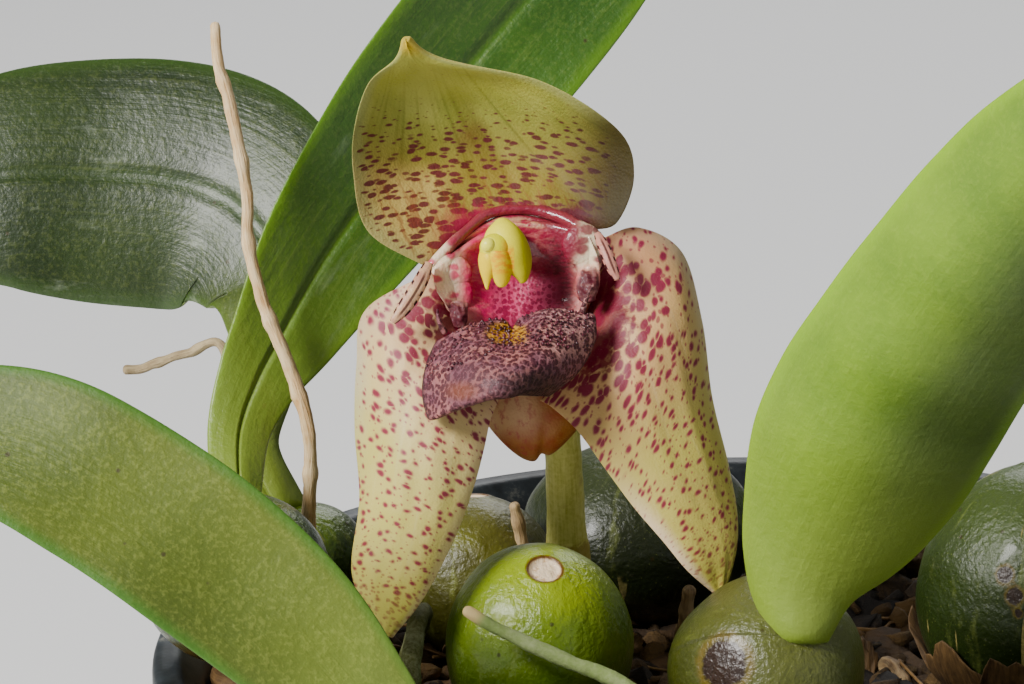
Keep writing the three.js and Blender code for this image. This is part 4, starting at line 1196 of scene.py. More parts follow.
BULBS = {
    "front": {"at": (-15.5, -10), "top": 10, "diameter": 11.6, "lean": (0, 0), "scar": (0.07, -0.4, 0.91)},
    "olive": {"at": (-19.5, 6), "top": 7.9, "diameter": 10.5, "lean": (-0.05, 0), "scar": (-0.02, 0.2, 1)},
    "behind_scape": {"at": (-8.6, 13), "top": 9.3, "diameter": 15.5, "lean": (0, 0.05),
                     "scar": (0.2, 0.2, 1)},
    "right_front": {"at": (-1.9, -18), "top": 11.3, "foot": -1.6, "diameter": 11.6, "lean": (0.3, -0.75),
                    "blots": [((-0.52, -0.78, 0.36), 0.28), ((0.1, -0.75, -0.7), 0.1)]},
    "far_right": {"at": (15.5, -6), "top": 13.8, "foot": -2.6, "diameter": 14.7, "lean": (0.05, 0.05),
                  "scar": (0.1, 0.25, 1),
                  "blots": [((-0.36, -0.82, 0.41), 0.075), ((-0.28, -0.9, 0.27), 0.075),
                            ((-0.25, -0.93, 0.15), 0.04)]},
    "over_rim": {"at": (-34.5, -2), "top": 10.8, "foot": -0.3, "diameter": 12, "lean": (0, 0.2)},
    "back_left": {"at": (-31, 11.5), "top": 5.6, "foot": -2.6, "diameter": 9, "lean": (-0.3, 0.1)},
    "left_front": {"at": (-17.5, -26.6), "top": 5.6, "foot": -2.6, "diameter": 9.6, "lean": (-0.35, -0.35)},
    "back_right": {"at": (20, 12), "top": 9, "diameter": 11, "lean": (0.2, 0.1)},
    "back": {"at": (5.4, 20), "top": 8, "diameter": 10.4, "lean": (0.1, 0.1)},
    "near_front": {"at": (8, -27), "top": 5, "diameter": 9.8, "lean": (0.1, -0.3)},
    "right_edge": {"at": (24, -18.5), "top": 8.5, "diameter": 11, "lean": (0.2, 0)},
}
BULB_FOOT = -2.8
SCAR_ANGLE = 0.185
UNMARKED = 9.0  # How many scar widths away a bulb without a scar or a blot counts as.


def bulb_foot(bulb):
    return bulb.get("foot", BULB_FOOT)


def half_height(bulb):
    return (bulb["top"] - bulb_foot(bulb)) / 2


def bulb_axis(bulb):
    x, y = bulb["lean"]
    return np.array([x, y, math.sqrt(1 - x * x - y * y)])


def bulb_centre(bulb):
    return np.array([*bulb["at"], (bulb["top"] + bulb_foot(bulb)) / 2])


def bulb_apex(bulb, proud):
    return bulb_centre(bulb) + bulb_axis(bulb) * (half_height(bulb) + proud)


def upright_to(axis):
    """The rotation matrix that turns straight up to the axis."""
    cross = np.cross([0, 0, 1], axis)
    skew = np.array([[0, -cross[2], cross[1]], [cross[2], 0, -cross[0]], [-cross[1], cross[0], 0]])
    return np.eye(3) + skew + skew @ skew / (1 + axis[2])


def bulb_shape(bulb, order):
    half = half_height(bulb)
    radius = bulb["diameter"] / 2
    matrix = upright_to(bulb_axis(bulb))

    def place(ways):
        turn = np.arctan2(-ways[:, 1], ways[:, 0])
        height = ways[:, 2]
        size = 1 + 0.018 * np.cos(5 * turn + order) * (1 - height**2)
        size += 0.006 * ripple(ways * 4, 2.2, order) * (1 - height**2)
        turned = ways @ matrix.T
        scar = np.full(len(ways), UNMARKED)
        if "scar" in bulb:
            scar = np.arccos(np.clip(turned @ unit(bulb["scar"]), -1, 1)) / SCAR_ANGLE
            size -= 0.045 * np.clip(1.0 - scar, 0, 0.25) / 0.25
            size += 0.012 * np.exp(-(((scar - 1.15) / 0.22) ** 2))
        else:
            near = np.arccos(np.clip(height, -1, 1))
            size -= 0.03 * np.exp(-((near / 0.33) ** 2))
        blot = np.full(len(ways), UNMARKED)
        for way, angle in bulb.get("blots", []):
            away = np.arccos(np.clip(turned @ unit(way), -1, 1)) / angle
            size -= 0.006 * np.exp(-(away**4))
            blot = np.minimum(blot, away)
        points = (ways * size[:, None] * [radius, radius, half]) @ matrix.T + bulb_centre(bulb)
        share = np.stack([turn / math.pi, height, np.cos(turn)], -1)
        blemish = np.stack([scar, blot, (1 - height) / 2], -1)
        return points, {"share": share, "blemish": blemish}

    return ball(place, BULB_FACES, BULB_RINGS)


# A bulb's skin: dark and light colour, gloss, yellowing, wrinkles and scratches.
BULB_SKINS = {
    "front": (tone(92, 118, 16), tone(160, 176, 64), 0.1, 0.25, 0.9, 0.0),
    "olive": (tone(54, 54, 8), tone(86, 84, 18), 0.0, 0.2, 0.3, 0.0),
    "right_front": (tone(56, 60, 28), tone(92, 96, 56), 0.04, 0.05, 0.6, 0.0),
    # The far_right and behind_scape skins are much darker than the front bulb's: partly their own colour,
    # partly painted shade, as these bulbs stand in shade.
    "far_right": (tone(34, 46, 12), tone(62, 76, 28), -0.02, 0.0, 0.1, 1.0),
    "behind_scape": (tone(24, 32, 8), tone(46, 54, 20), -0.02, 0.0, 0.25, 0.3),
}
PLAIN_BULB_SKIN = (tone(46, 64, 20), tone(88, 104, 42), 0.08, 0.1, 0.7, 0.2)


def bulbs():
    shared = None
    for order, (name, bulb) in enumerate(BULBS.items()):
        if name in BULB_SKINS:
            skin = bulb_skin(f"bulb skin {name}", *BULB_SKINS[name])
        else:
            shared = shared or bulb_skin("bulb skin", *PLAIN_BULB_SKIN)
            skin = shared
        stand_in(f"pseudobulb_{name}", bulb_shape(bulb, order), in_plant, skin)


HUSKS_A_BULB = 4
HUSKS_OF_THE_STUMP = 7
HUSK_THICKNESS = 0.14
STUMP = {"at": (5.8, -1.2), "top": 3.4, "diameter": 3.4, "lean": (0.1, -0.1)}


def husk(bulb, random):
    """A dry papery scale round a bulb's foot, with a ragged, curled upper edge."""
    half = half_height(bulb)
    matrix = upright_to(bulb_axis(bulb))
    turn = random.uniform(0, 2 * math.pi)
    width = random.uniform(0.35, 0.75)
    low, high = -0.96, random.uniform(-0.65, -0.2)
    curl = random.uniform(0.1, 0.8)
    order = int(random.integers(1000))

    def surface(s, t):
        ragged = 0.05 * ripple(np.stack([s * 2, 0 * s], -1), 1.4, order) - 0.35 * s**2
        height = np.clip(blend(low, high + ragged, t), -0.99, 0.9)
        out = bulb["diameter"] / 2 * np.sqrt(1 - height**2) + 0.3 + curl * t**3
        out = out + 0.12 * ripple(np.stack([s * 3, t * 3], -1), 2.0, order + 1)
        angle = turn + s * width * (1 - 0.35 * t)
        points = np.stack([out * np.cos(angle), out * np.sin(angle), height * half], -1)
        return points @ matrix.T + bulb_centre(bulb)

    return blade(surface, lambda s, t: HUSK_THICKNESS + 0 * s, across=14, along=22)


def husks():
    """Dry scales round the bulbs' feet, and those of an old bulb that has shrunk away."""
    random = np.random.default_rng(21)
    scales = [husk(bulb, random) for bulb in BULBS.values() for _ in range(HUSKS_A_BULB)]
    scales += [husk(STUMP, random) for _ in range(HUSKS_OF_THE_STUMP)]
    skin = dry_skin("papery scale skin", tone(54, 40, 26), tone(138, 110, 78), 0.4)
    put("dry_scales", joined(scales).moved(in_plant), skin)


# The leaves.

# A leaf's half width from its foot to its tip, as a share of the widest.
LEAF_OUTLINE = (0.23, 0.43, 0.72, 0.9, 0.99, 1, 0.98, 0.87, 0.62, 0.08)
LATE_OUTLINE = (0.19, 0.22, 0.34, 0.7, 0.95, 1.02, 1, 0.88, 0.62, 0.08)
EARLY_OUTLINE = (0.24, 0.74, 0.99, 1.04, 1, 0.96, 0.92, 0.84, 0.62, 0.1)
LEAVES = {
    "left_front": {
        "bulb": "left_front",
        "midrib": [(-22.7, -32.6, 5.6), (-25.5, -33.4, 8.6), (-29.5, -32.6, 12.9), (-34.5, -31.8, 17),
                   (-40.2, -30.2, 20.4), (-45.9, -28.6, 22.5), (-53, -26.5, 21.8), (-59, -24.5, 18.5)],
        "faces": [(-0.3, -0.9, 0.4), (0.15, -0.7, 0.75)],
        "outline": LEAF_OUTLINE, "half_width": 4.9, "cup": 0.35, "ribbed": 0},
    "right": {
        "bulb": "right_front",
        "midrib": [(-0.1, -22.3, 11.9), (1.3, -24.1, 16.5), (4.3, -29.7, 25.5), (8.6, -36, 34.9),
                   (13.8, -42.4, 44), (17.5, -46, 49.2)],
        "faces": [(-0.15, -1, 0), (-0.25, -1, -0.1)],
        "outline": EARLY_OUTLINE, "half_width": 6.6, "cup": -0.5, "ribbed": 0},
    "middle": {
        "bulb": "over_rim",
        "midrib": [(-34.6, 3.1, 13.3), (-33.5, 5.5, 16.2), (-31.8, 7.9, 18.9), (-28.8, 11.3, 23.4),
                   (-24.8, 14.8, 28.4), (-18.9, 18.8, 35), (-13.2, 22.2, 40.6), (-7.6, 25.2, 45.4),
                   (-3.4, 27, 48)],
        "faces": [(0.2, -1, 0.1), (0.25, -0.85, 0.4)],
        "outline": (0.24, 0.36, 0.58, 0.78, 0.92, 1, 1.02, 0.93, 0.66, 0.08), "half_width": 6.5, "cup": 0.5},
    "back_left": {
        "bulb": "back_left",
        "midrib": [(-34.2, 13, 9), (-33.7, 15, 12.6), (-32.9, 17.6, 15.8), (-32.7, 20.3, 18.8),
                   (-34.5, 23.2, 21.8), (-38.3, 25.8, 23.5), (-43.8, 27, 24), (-52, 27, 24),
                   (-58.5, 26.5, 22), (-63, 25.5, 18.5)],
        "faces": [(-0.35, -0.9, 0.2), (0, -0.8, 0.6)],
        "outline": LATE_OUTLINE, "half_width": 8.6, "cup": -0.25},
    "back": {
        "bulb": "back",
        "midrib": [(8.4, 22.6, 10.2), (11.6, 25.5, 12.6), (16.7, 29.7, 15.8), (22.7, 33.6, 18.2),
                   (28.6, 36.5, 19), (34, 39, 18)],
        "faces": [(-0.3, -0.8, 0.4), (-0.2, -0.5, 0.8)],
        "outline": LEAF_OUTLINE, "half_width": 5.6, "cup": 0.3},
    "back_right": {
        "bulb": "back_right",
        "midrib": [(24.5, 15.5, 11.5), (31, 18.5, 18), (38, 21, 24), (46, 23, 28), (54, 24, 29.5),
                   (60, 24, 28)],
        "faces": [(-0.4, -0.5, 0.8), (0.1, -0.4, 0.9)],
        "outline": LEAF_OUTLINE, "half_width": 6.2, "cup": 0.35},
    "near_front": {
        "bulb": "near_front",
        "midrib": [(9.8, -34, 7), (12, -41, 8.3), (15, -49, 7.5), (18.5, -57, 4), (21.5, -63, -1.5),
                   (23, -66, -6)],
        "faces": [(0.1, 0.3, 0.95), (0.2, -0.5, 0.85)],
        "outline": LEAF_OUTLINE, "half_width": 6, "cup": 0.35},
    "right_edge": {
        "bulb": "right_edge",
        "midrib": [(28, -19.3, 11.5), (34.5, -20.5, 17), (43, -22, 21.5), (52, -23, 23.5), (60, -24, 22.5)],
        "faces": [(-0.7, -0.2, 0.7), (0, -0.3, 0.95)],
        "outline": LEAF_OUTLINE, "half_width": 6.2, "cup": 0.3},
}


LEAF_SUNK = 0.6  # How deep a leaf's foot sits in its bulb.
LEAF_EDGE = 0.65


def leaf_shape(leaf, seed):
    line = np.array([bulb_apex(BULBS[leaf["bulb"]], -LEAF_SUNK), *leaf["midrib"]])
    face_base, face_tip = (unit(face) for face in leaf["faces"])
    cup = leaf["cup"]

    def surface(s, t):
        way = direction(line, t)
        across = unit(np.cross(way, blend(face_base, face_tip, t[..., None])))
        out = np.cross(across, way)
        reach = leaf["half_width"] * profile(leaf["outline"], t) / cup
        wave = 0.16 * ripple(np.stack([s * 3, t * 50], -1), 11, seed) * t * (1 - t) * 4
        return (even_line(line, t) + across * (reach * np.sin(s * cup))[..., None]
                + out * (reach * (1 - np.cos(s * cup)) + wave)[..., None])

    def thickness(s, t):
        middle = blend(PETIOLE_THICKNESS, LEAF_THICKNESS, np.minimum(1, 4 * t))
        return blend(middle, LEAF_EDGE, s**2)

    def relief(s, t, side):
        fade = np.clip(6 * (1 - t), 0, 1)
        groove = -0.3 * np.exp(-((s / 0.06) ** 2)) * (side > 0)
        keel = 0.3 * np.exp(-((s / 0.12) ** 2)) * (side < 0)
        return (groove + keel) * fade * leaf.get("ribbed", 1)

    return blade(surface, thickness, LEAF_ACROSS, LEAF_ALONG, relief)


def leaves():
    skins = {
        "left_front": leaf_skin(
            "leaf skin left front", tone(74, 88, 34), tone(100, 112, 48), tone(72, 112, 10), -0.06,
            stipple=0.35, vein=0.06, dusty=0.1, ribbed=0),
        "right": leaf_skin(
            "leaf skin right", tone(104, 134, 42), tone(140, 170, 64), tone(146, 180, 68), 0.0,
            stipple=0.15, vein=0.06, dusty=0.1, ribbed=0, shaded=0.95),
        "middle": leaf_skin(
            "leaf skin middle", tone(48, 78, 18), tone(74, 106, 34), tone(104, 138, 48), 0.12,
            stipple=0.15, painted_sheen=0.15, vein=0.25, dusty=0.6),
        "back_left": leaf_skin(
            "leaf skin back left", tone(24, 38, 10), tone(46, 62, 20), tone(54, 76, 24), 0.13,
            stipple=0.15, painted_sheen=0.35, vein=0.15, dusty=0.6),
    }
    plain = leaf_skin("leaf skin", tone(56, 88, 26), tone(92, 122, 46), tone(104, 136, 44), 0.08)
    for seed, (name, leaf) in enumerate(LEAVES.items()):
        stand_in(f"leaf_{name}", leaf_shape(leaf, seed), in_plant, skins.get(name, plain))


# Stems and roots.

SCAPE_POINTS = [(-13.4, 1.2, -5), (-13.5, 0.8, 0.1), (-13.6, -0.6, 6.7), (-14, -3.4, 15.2), (-14.4, -4, 17)]
SCAPE_RADII = (1.3, 1.35, 1.45, 1.25, 1.15, 1.15)
STEMS = {
    "dry_stalk": {
        "points": [(-30.2, 5, -5), (-30.2, 4.4, 2), (-30.2, 4, 6.7), (-30, 3, 12.8), (-31.2, 4, 17.1),
                   (-33, 5, 21.5), (-33.9, 6, 25.2), (-33.9, 6.5, 27.7), (-34.4, 7, 30.8), (-35.1, 8, 33.8),
                   (-35.8, 9, 36.2), (-36, 10, 38.5)],
        "radii": (0.5, 0.44, 0.48, 0.42, 0.44, 0.4, 0.37, 0.4, 0.32), "joints": 5.2},
    "dry_root": {
        "points": [(-34.6, 6.6, -4.5), (-34.5, 7.4, 4), (-34.6, 9.2, 11), (-36, 11.3, 16.5),
                   (-38.2, 12.2, 15.9), (-40.3, 13, 15), (-41.7, 13.8, 14.3), (-42.8, 13.8, 14.2)],
        "radii": (0.5, 0.4, 0.35, 0.3, 0.3), "joints": 3.0},
    "green_root": {
        "points": [(-20, -17.5, 8.7), (-17.8, -18, 7.5), (-14.2, -19, 6.1), (-10.7, -20, 4.9),
                   (-8, -21.2, 2.8), (-6.8, -22.2, -1), (-6.5, -22.6, -5)],
        "radii": (0.35, 0.45, 0.5, 0.5, 0.5), "joints": 0},
    "looped_root": {
        "points": [(-24, -3.5, -5.5), (-23.6, -5.5, 1), (-22.6, -8.5, 5), (-22.9, -11.5, 5.6),
                   (-23.2, -15, 3.2), (-22.6, -18, -1), (-22.4, -19, -5)],
        "radii": (0.6, 0.6, 0.6, 0.6), "joints": 0},
}


def knobbly(joints, seed):
    """Swellings at the joints and uneven skin along a stem."""
    def bumps(run, turn):
        where = np.stack([run + 0 * turn, np.cos(turn) * 0.8 + 0 * run, np.sin(turn) * 0.8 + 0 * run], -1)
        uneven = 0.06 * ripple(where, 2.2, seed) + 0.03 * ripple(where, 0.8, seed + 1)
        if not joints:
            return uneven
        away = np.abs((run / joints + 0.5) % 1 - 0.5) * joints
        return uneven + 0.24 * np.exp(-((away / 0.5) ** 2))
    return bumps


def stems():
    skins = {
        "dry_stalk": dry_skin("dry stalk skin", tone(206, 164, 118), tone(255, 236, 200), 0.35),
        "dry_root": dry_skin("dry root skin", tone(128, 110, 84), tone(206, 190, 158), 0.2),
        "green_root": root_skin("green root skin", tone(140, 156, 106), tone(226, 204, 160)),
        "looped_root": root_skin("looped root skin", tone(72, 74, 34), tone(72, 74, 34)),
    }
    for seed, (name, stem) in enumerate(STEMS.items()):
        bumps = knobbly(stem["joints"], seed)
        shape = rod(stem["points"], tapering(stem["radii"]), around=20, rings=150, bumps=bumps)
        stand_in(name, shape, in_plant, skins[name])


# Old stubs: points and thickness.
TWIGS = [
    ([(6.4, 2, -2.6), (7.2, 0, -1.4), (7.9, -3, -1.6)], 0.5),
    ([(-6.2, 5.2, -4), (-6, 4.7, -1), (-5.6, 4, 2.6)], 0.5),
    ([(-16.3, 3.5, 2.5), (-16.5, 3.2, 6), (-17, 3, 8.6)], 0.45),
    ([(-9.5, -8, -3), (-7.6, -9.5, -1), (-5.8, -12, -1.8), (-4.6, -13.5, -3)], 0.42),
    ([(-12.5, 3.5, -3), (-11.4, 2.6, 0.4), (-11, 1.8, 2.2)], 0.4),
    ([(-26, -8, -3), (-27, -5, -1.6), (-29.5, -3.4, -2.6)], 0.4)]


def twigs():
    """Stubs of old roots and stems among the bulbs."""
    rods = []
    for seed, (points, size) in enumerate(TWIGS):
        bumps = knobbly(1.6, 70 + seed)
        rods.append(rod(points, lambda t: size * (1 - 0.25 * t), around=14, rings=50, bumps=bumps))
    skin = dry_skin("twig skin", tone(92, 66, 44), tone(206, 182, 146), 0.4)
    put("old_stubs", joined(rods).moved(in_plant), skin)


RHIZOME_LINES = [
    ("left_front", "front", "olive", "over_rim", "back_left"),
    ("front", "behind_scape", "back", "back_right", "far_right", "right_edge", "near_front", "right_front")]


def rhizome():
    sunk = RHIZOME_RADIUS + GAP + RHIZOME_SINK
    lines = []
    for seed, names in enumerate(RHIZOME_LINES):
        points = [(*BULBS[name]["at"], bulb_foot(BULBS[name]) - sunk) for name in names]
        lines.append(rod(points, lambda t: RHIZOME_RADIUS + 0 * t, around=20, rings=40 * len(names),
                         bumps=knobbly(2.4, seed + 30)))
    skin = dry_skin("rhizome skin", tone(70, 50, 32), tone(140, 112, 76), 0.5)
    stand_in("rhizome", joined(lines), in_plant, skin)


SHEATH_LENGTH = 12.3
SHEATH_THICKNESS = 0.08


def scape():
    """The flower's stem, with a wavy-edged sheath round its foot."""
    uneven = knobbly(0, 51)

    def bumps(run, turn):
        past_sheath = run + 0.3 * np.sin(3 * turn) - SHEATH_LENGTH
        return 0.3 * uneven(run, turn) + SHEATH_THICKNESS / (1 + np.exp(past_sheath * 8))

    stalk = rod(SCAPE_POINTS, tapering(SCAPE_RADII), around=40, rings=90, bumps=bumps)
    stand_in("scape", stalk, in_plant, scape_skin())


# The flower, in its own frame. Rows run from a sheet's foot to its tip, each from margin to margin.

DORSAL_ROWS = [
    [(-5.3, -0.4, 0.2), (-0.7, 3.1, -1.3), (4.6, 1.9, 0)],
    [(-8.9, 1.8, 1.5), (-1.3, 5.1, -2.2), (6.2, 2.4, 1)],
    [(-9.8, 5.4, 1.8), (-2.2, 7.1, -2.9), (7.2, 5.2, 1.2)],
    [(-9.7, 8.2, 1.8), (-3.2, 9.4, -2.2), (6.2, 8, 1.2)],
    [(-8.9, 10.7, 1.8), (-4.6, 11.1, -0.8), (1.6, 10.9, 1.3)],
    [(-7.35, 12.1, 2), (-6, 12.3, 1.3), (-4.3, 12.15, 1.7)],
    [(-6.7, 13.2, 2.9), (-6.6, 13.3, 2.9), (-6.5, 13.2, 2.9)]]
LEFT_ROWS = [
    [(-5.1, -0.6, 1.2), (-3.2, -4.3, 0.2), (-1, -8.4, 1.2)],
    [(-9.1, -2.9, -0.2), (-5.3, -6.8, 2), (-1.5, -9.6, 1.8)],
    [(-9.7, -6.3, -0.6), (-5.8, -9, 2.4), (-1.9, -11.4, 2)],
    [(-9.8, -10.2, -0.6), (-6.2, -11.9, 2.8), (-2.5, -13.6, 2.2)],
    [(-9.5, -14.5, -0.2), (-6.7, -15.3, 2.6), (-3.6, -16.6, 2.2)],
    [(-9.9, -19, 1), (-7.7, -19.5, 2.4), (-5.5, -20.3, 2.5)],
    [(-8.2, -22.4, 2.2), (-7.8, -22.6, 2.3), (-7.4, -22.7, 2.5)]]
RIGHT_ROWS = [
    [(1.5, -8.4, 1.2), (4.3, -3.6, -1.4), (5.2, 1.4, 0.6)],
    [(2.3, -8.9, 1.4), (6.1, -3.4, 0.3), (7.5, 2.1, 0)],
    [(3.8, -10.3, 1.6), (7.9, -4.8, 1.6), (10.2, 0.6, -0.8)],
    [(5.4, -12.5, 1.8), (8.8, -7.5, 1.9), (11.4, -3.5, -0.8)],
    [(7.1, -14.8, 1.9), (9.8, -10.9, 1.7), (12, -8.1, -0.6)],
    [(8.9, -16.9, 2.2), (11.3, -14.5, 1.4), (13, -12.4, -0.4)],
    [(10.4, -18.7, 2.2), (12.4, -17.4, 1.1), (13.5, -16, 0.2)],
    [(12.1, -20.2, 1.2), (12.4, -20, 1.1), (12.8, -19.7, 0.9)]]
COLUMN_FOOT_ROWS = [
    [(-1.4, -7.7, 0), (0.4, -7.9, -0.4), (2.1, -7.5, 0)],
    [(-2.4, -5, 1), (0.2, -5.2, 0), (3.1, -4.5, 0.4)],
    [(-3.6, -3.4, 1.2), (0.1, -2.9, -0.8), (4.4, -2.3, 0.2)],
    [(-4.8, -1.7, 1.8), (0, -0.5, -1.5), (5.1, -0.4, 1.2)],
    [(-4.9, -0.5, 1.5), (-0.2, 2.4, -0.9), (4.5, 1.5, 1)]]
RIDGE_POINTS = [
    (-5.2, -0.4, 0.7), (-4.5, 0.45, 0.5), (-3.5, 1.4, 0.05), (-2.6, 2.25, -0.5), (-1.8, 2.85, -0.8),
    (-0.8, 3.15, -1), (0.5, 3.2, -1), (1.5, 3.1, -0.9), (2.5, 2.8, -0.6), (3.5, 2.35, -0.1), (4.4, 1.8, 0.3),
    (5, 0.8, 0.5)]
RIDGE_RADII = (0.28, 0.34, 0.34, 0.33, 0.32, 0.31, 0.32, 0.34, 0.4, 0.44, 0.44, 0.3)
SHOULDERS = [
    ((-4.1, -0.7, 0.5), (1.5, 1.2, 0.5)),
    ((-3.7, -2, 0.5), (1.15, 1.3, 0.45)),
    ((4.1, 1, 0.5), (1.3, 1.35, 0.5)),
    ((4.4, 0.1, 0.4), (0.9, 1, 0.45))]
# Thin membranes beside the lip.
MEMBRANES = [
    [[(-4, -2.6, 1), (-3.5, -2.4, 1.3), (-2.9, -2.5, 1.2)],
     [(-3.9, -3.2, 1.4), (-3.4, -3.2, 1.7), (-2.9, -3.2, 1.5)],
     [(-3.7, -3.9, 1.4), (-3.3, -4, 1.6), (-3, -3.9, 1.4)]],
    [[(3.8, -0.5, 0.8), (4.5, -0.3, 1), (5.1, -0.4, 0.9)],
     [(3.7, -1.4, 1), (4.4, -1.4, 1.4), (5.1, -1.3, 1.1)],
     [(3.9, -2.3, 1.1), (4.3, -2.5, 1.4), (4.8, -2.3, 1.1)]]]
LINING_ROWS = [
    [(-1.2, -8.1, 0.5), (0, -8.2, 0), (0.7, -8.2, -0.2), (1.6, -8, 0), (2.6, -7.7, 0.5)],
    [(-3.6, -6.4, 0), (-1.6, -6.6, -1), (0.5, -6.6, -1.6), (2.7, -6, -1.8), (4.6, -5.4, -1.5)],
    [(-5, -3, -0.1), (-2.7, -3.2, -1.4), (0.3, -3, -2), (3.2, -2.4, -2.2), (5.6, -2, -1.7)],
    [(-5.2, -0.9, 0.3), (-3, 0.1, -0.9), (0, 0.6, -1.7), (3, 0.6, -1.5), (5.2, 0.9, -0.4)],
    [(-4.4, 0.5, 0.3), (-2.4, 2.1, -0.6), (-0.3, 2.95, -1.15), (2.4, 2.45, -0.7), (4.6, 1.7, 0.1)]]
LIP_ROWS = [
    [(-0.9, -4.9, 1.6), (-0.2, -4.8, 1.8), (0.5, -4.8, 1.6)],
    [(-4.2, -4.6, 2.4), (-0.1, -4.7, 2.8), (4.3, -3.1, 2.2)],
    [(-5.2, -5.7, 3), (-0.2, -5.1, 4.4), (4.9, -4.1, 2.6)],
    [(-5.6, -7.5, 3.4), (-0.3, -5.9, 6.2), (4.6, -5.4, 2.8)],
    [(-5.45, -8.9, 3.6), (-0.4, -6.9, 7.3), (3.8, -6.7, 3.4)],
    [(-4.95, -9.5, 4.2), (-0.7, -7.7, 7.6), (2.9, -7.5, 3.9)],
    [(-3.5, -7.7, 4.6), (-0.8, -7.75, 7.2), (2, -8.15, 4.2)]]
LIP_FOLD = 1.1
BEAD_RADII = (0.13, 0.13, 0.15)
HORNS = [
    [(-4.2, -4.4, 2.6), (-4.6, -3.6, 3), (-4.7, -2.9, 3.1)],
    [(4, -3.2, 2.4), (4.3, -2.2, 2.8), (4.7, -1.4, 2.9)]]
OVARY_POINTS = [(2.6, -10, -5.8), (1.8, -7, -5), (1, -3.6, -4.4), (0.2, 0, -3.2)]
OVARY_RADII = (1.15, 1.5, 1.9, 2, 1.6)
MENTUM = {"at": (1.15, -9.1, -1.7), "radii": (3.35, 3.1, 1.9)}
COLUMN_POINTS = [(-0.3, 1.3, -1), (-0.45, 1.15, 0.4), (-0.55, 1, 1.4), (-0.65, 0.9, 2)]
COLUMN_RADII = (0.95, 0.95, 0.9, 0.7)
# The column's hood, down to its pointed wing.
COLUMN_HOOD = [
    [(-1.15, 2.3, 1.7), (-0.8, 2.42, 1.8), (-0.45, 2.3, 1.7)],
    [(-1.75, 1.75, 1.9), (-0.6, 2, 2.5), (0.35, 1.7, 1.8)],
    [(-1.9, 1.1, 2.1), (-0.4, 1.3, 2.85), (0.78, 1, 1.8)],
    [(-1.9, 0.4, 2.1), (-0.3, 0.5, 2.9), (0.96, 0.35, 1.8)],
    [(-1.3, -0.3, 2.2), (0, -0.2, 2.75), (0.95, -0.3, 1.9)],
    [(-0.2, -0.8, 2.4), (0.35, -0.75, 2.6), (0.8, -0.8, 2.1)],
    [(0.4, -1.22, 2.35), (0.46, -1.26, 2.35), (0.52, -1.22, 2.35)]]
# The column's face, and the two teeth that hang from it.
COLUMN_TEETH = [
    [[(-2.05, 0.7, 2.45), (-1.2, 0.7, 3), (-0.2, 0.6, 2.65)],
     [(-2.14, 0.1, 2.5), (-1.2, 0, 3.02), (-0.15, 0, 2.7)],
     [(-2.08, -0.5, 2.5), (-1.2, -0.5, 2.92), (-0.2, -0.45, 2.65)],
     [(-1.95, -0.9, 2.5), (-1.2, -1, 2.72), (-0.35, -0.8, 2.6)]],
    [[(-2.1, 0.7, 2.5), (-1.7, 0.7, 3), (-1.2, 0.7, 3.1)],
     [(-2.22, 0.1, 2.5), (-1.75, 0.1, 3.1), (-1.2, 0.1, 3.2)],
     [(-2.14, -0.5, 2.6), (-1.75, -0.5, 3.02), (-1.28, -0.5, 3.1)],
     [(-2.02, -0.9, 2.6), (-1.72, -0.92, 2.9), (-1.4, -0.9, 2.9)],
     [(-1.86, -1.3, 2.6), (-1.7, -1.32, 2.75), (-1.54, -1.3, 2.75)],
     [(-1.72, -1.66, 2.6), (-1.69, -1.68, 2.6), (-1.66, -1.66, 2.6)]],
    [[(-1.7, 0.6, 3), (-1, 0.6, 3.4), (-0.25, 0.5, 2.8)],
     [(-1.6, 0, 3.1), (-0.9, 0, 3.35), (-0.12, 0, 2.8)],
     [(-1.45, -0.5, 3.05), (-0.85, -0.55, 3.22), (-0.18, -0.5, 2.8)],
     [(-1.35, -0.9, 2.95), (-0.83, -0.95, 3.1), (-0.28, -0.9, 2.8)],
     [(-1.26, -1.2, 2.9), (-0.83, -1.28, 3), (-0.36, -1.18, 2.8)],
     [(-1.08, -1.48, 2.85), (-0.83, -1.53, 2.85), (-0.58, -1.46, 2.8)]]]
ANTHER = {"at": (-1.18, 0.78, 2.65), "radii": (0.98, 0.9, 0.85)}
ANTHER_KNOB = {"at": (-1.63, 0.95, 3.28), "radii": (0.45, 0.45, 0.42)}
PETAL_THICKNESS = 0.32
PETAL_WIDTHS = (0.45, 0.85, 1, 1, 0.85, 0.3)
# Petals: points and half width.
PETALS = {
    "left": ([(-5.2, -0.1, 2), (-5.8, -1.4, 2.8), (-6.6, -2.7, 3.1), (-7.4, -3.7, 3)], 0.44),
    "right": ([(4.95, 1.7, 1.6), (5.4, 0.7, 2.4), (5.75, -0.2, 2.7), (6.15, -1.15, 2.7)], 0.34)}


THIN_EDGE = 0.35


def thinning(middle, edge=THIN_EDGE):
    """A thickness that falls from the middle of a sheet to its margins."""
    return lambda s, t: blend(middle, edge, s**2)


def sepal_relief(veins, seed):
    """Lengthwise veins and a soft unevenness."""
    def relief(s, t, side):
        ridges = 0.03 * np.cos(s * math.pi * veins) * (1 - np.abs(s) ** 3) * (1 - t)
        return side * 0.05 * ripple(np.stack([s * 6, t * 14], -1), 4.5, seed) + ridges
    return relief


SEPAL_CURL = 0.5  # How far a side sepal's outer margin curls back.


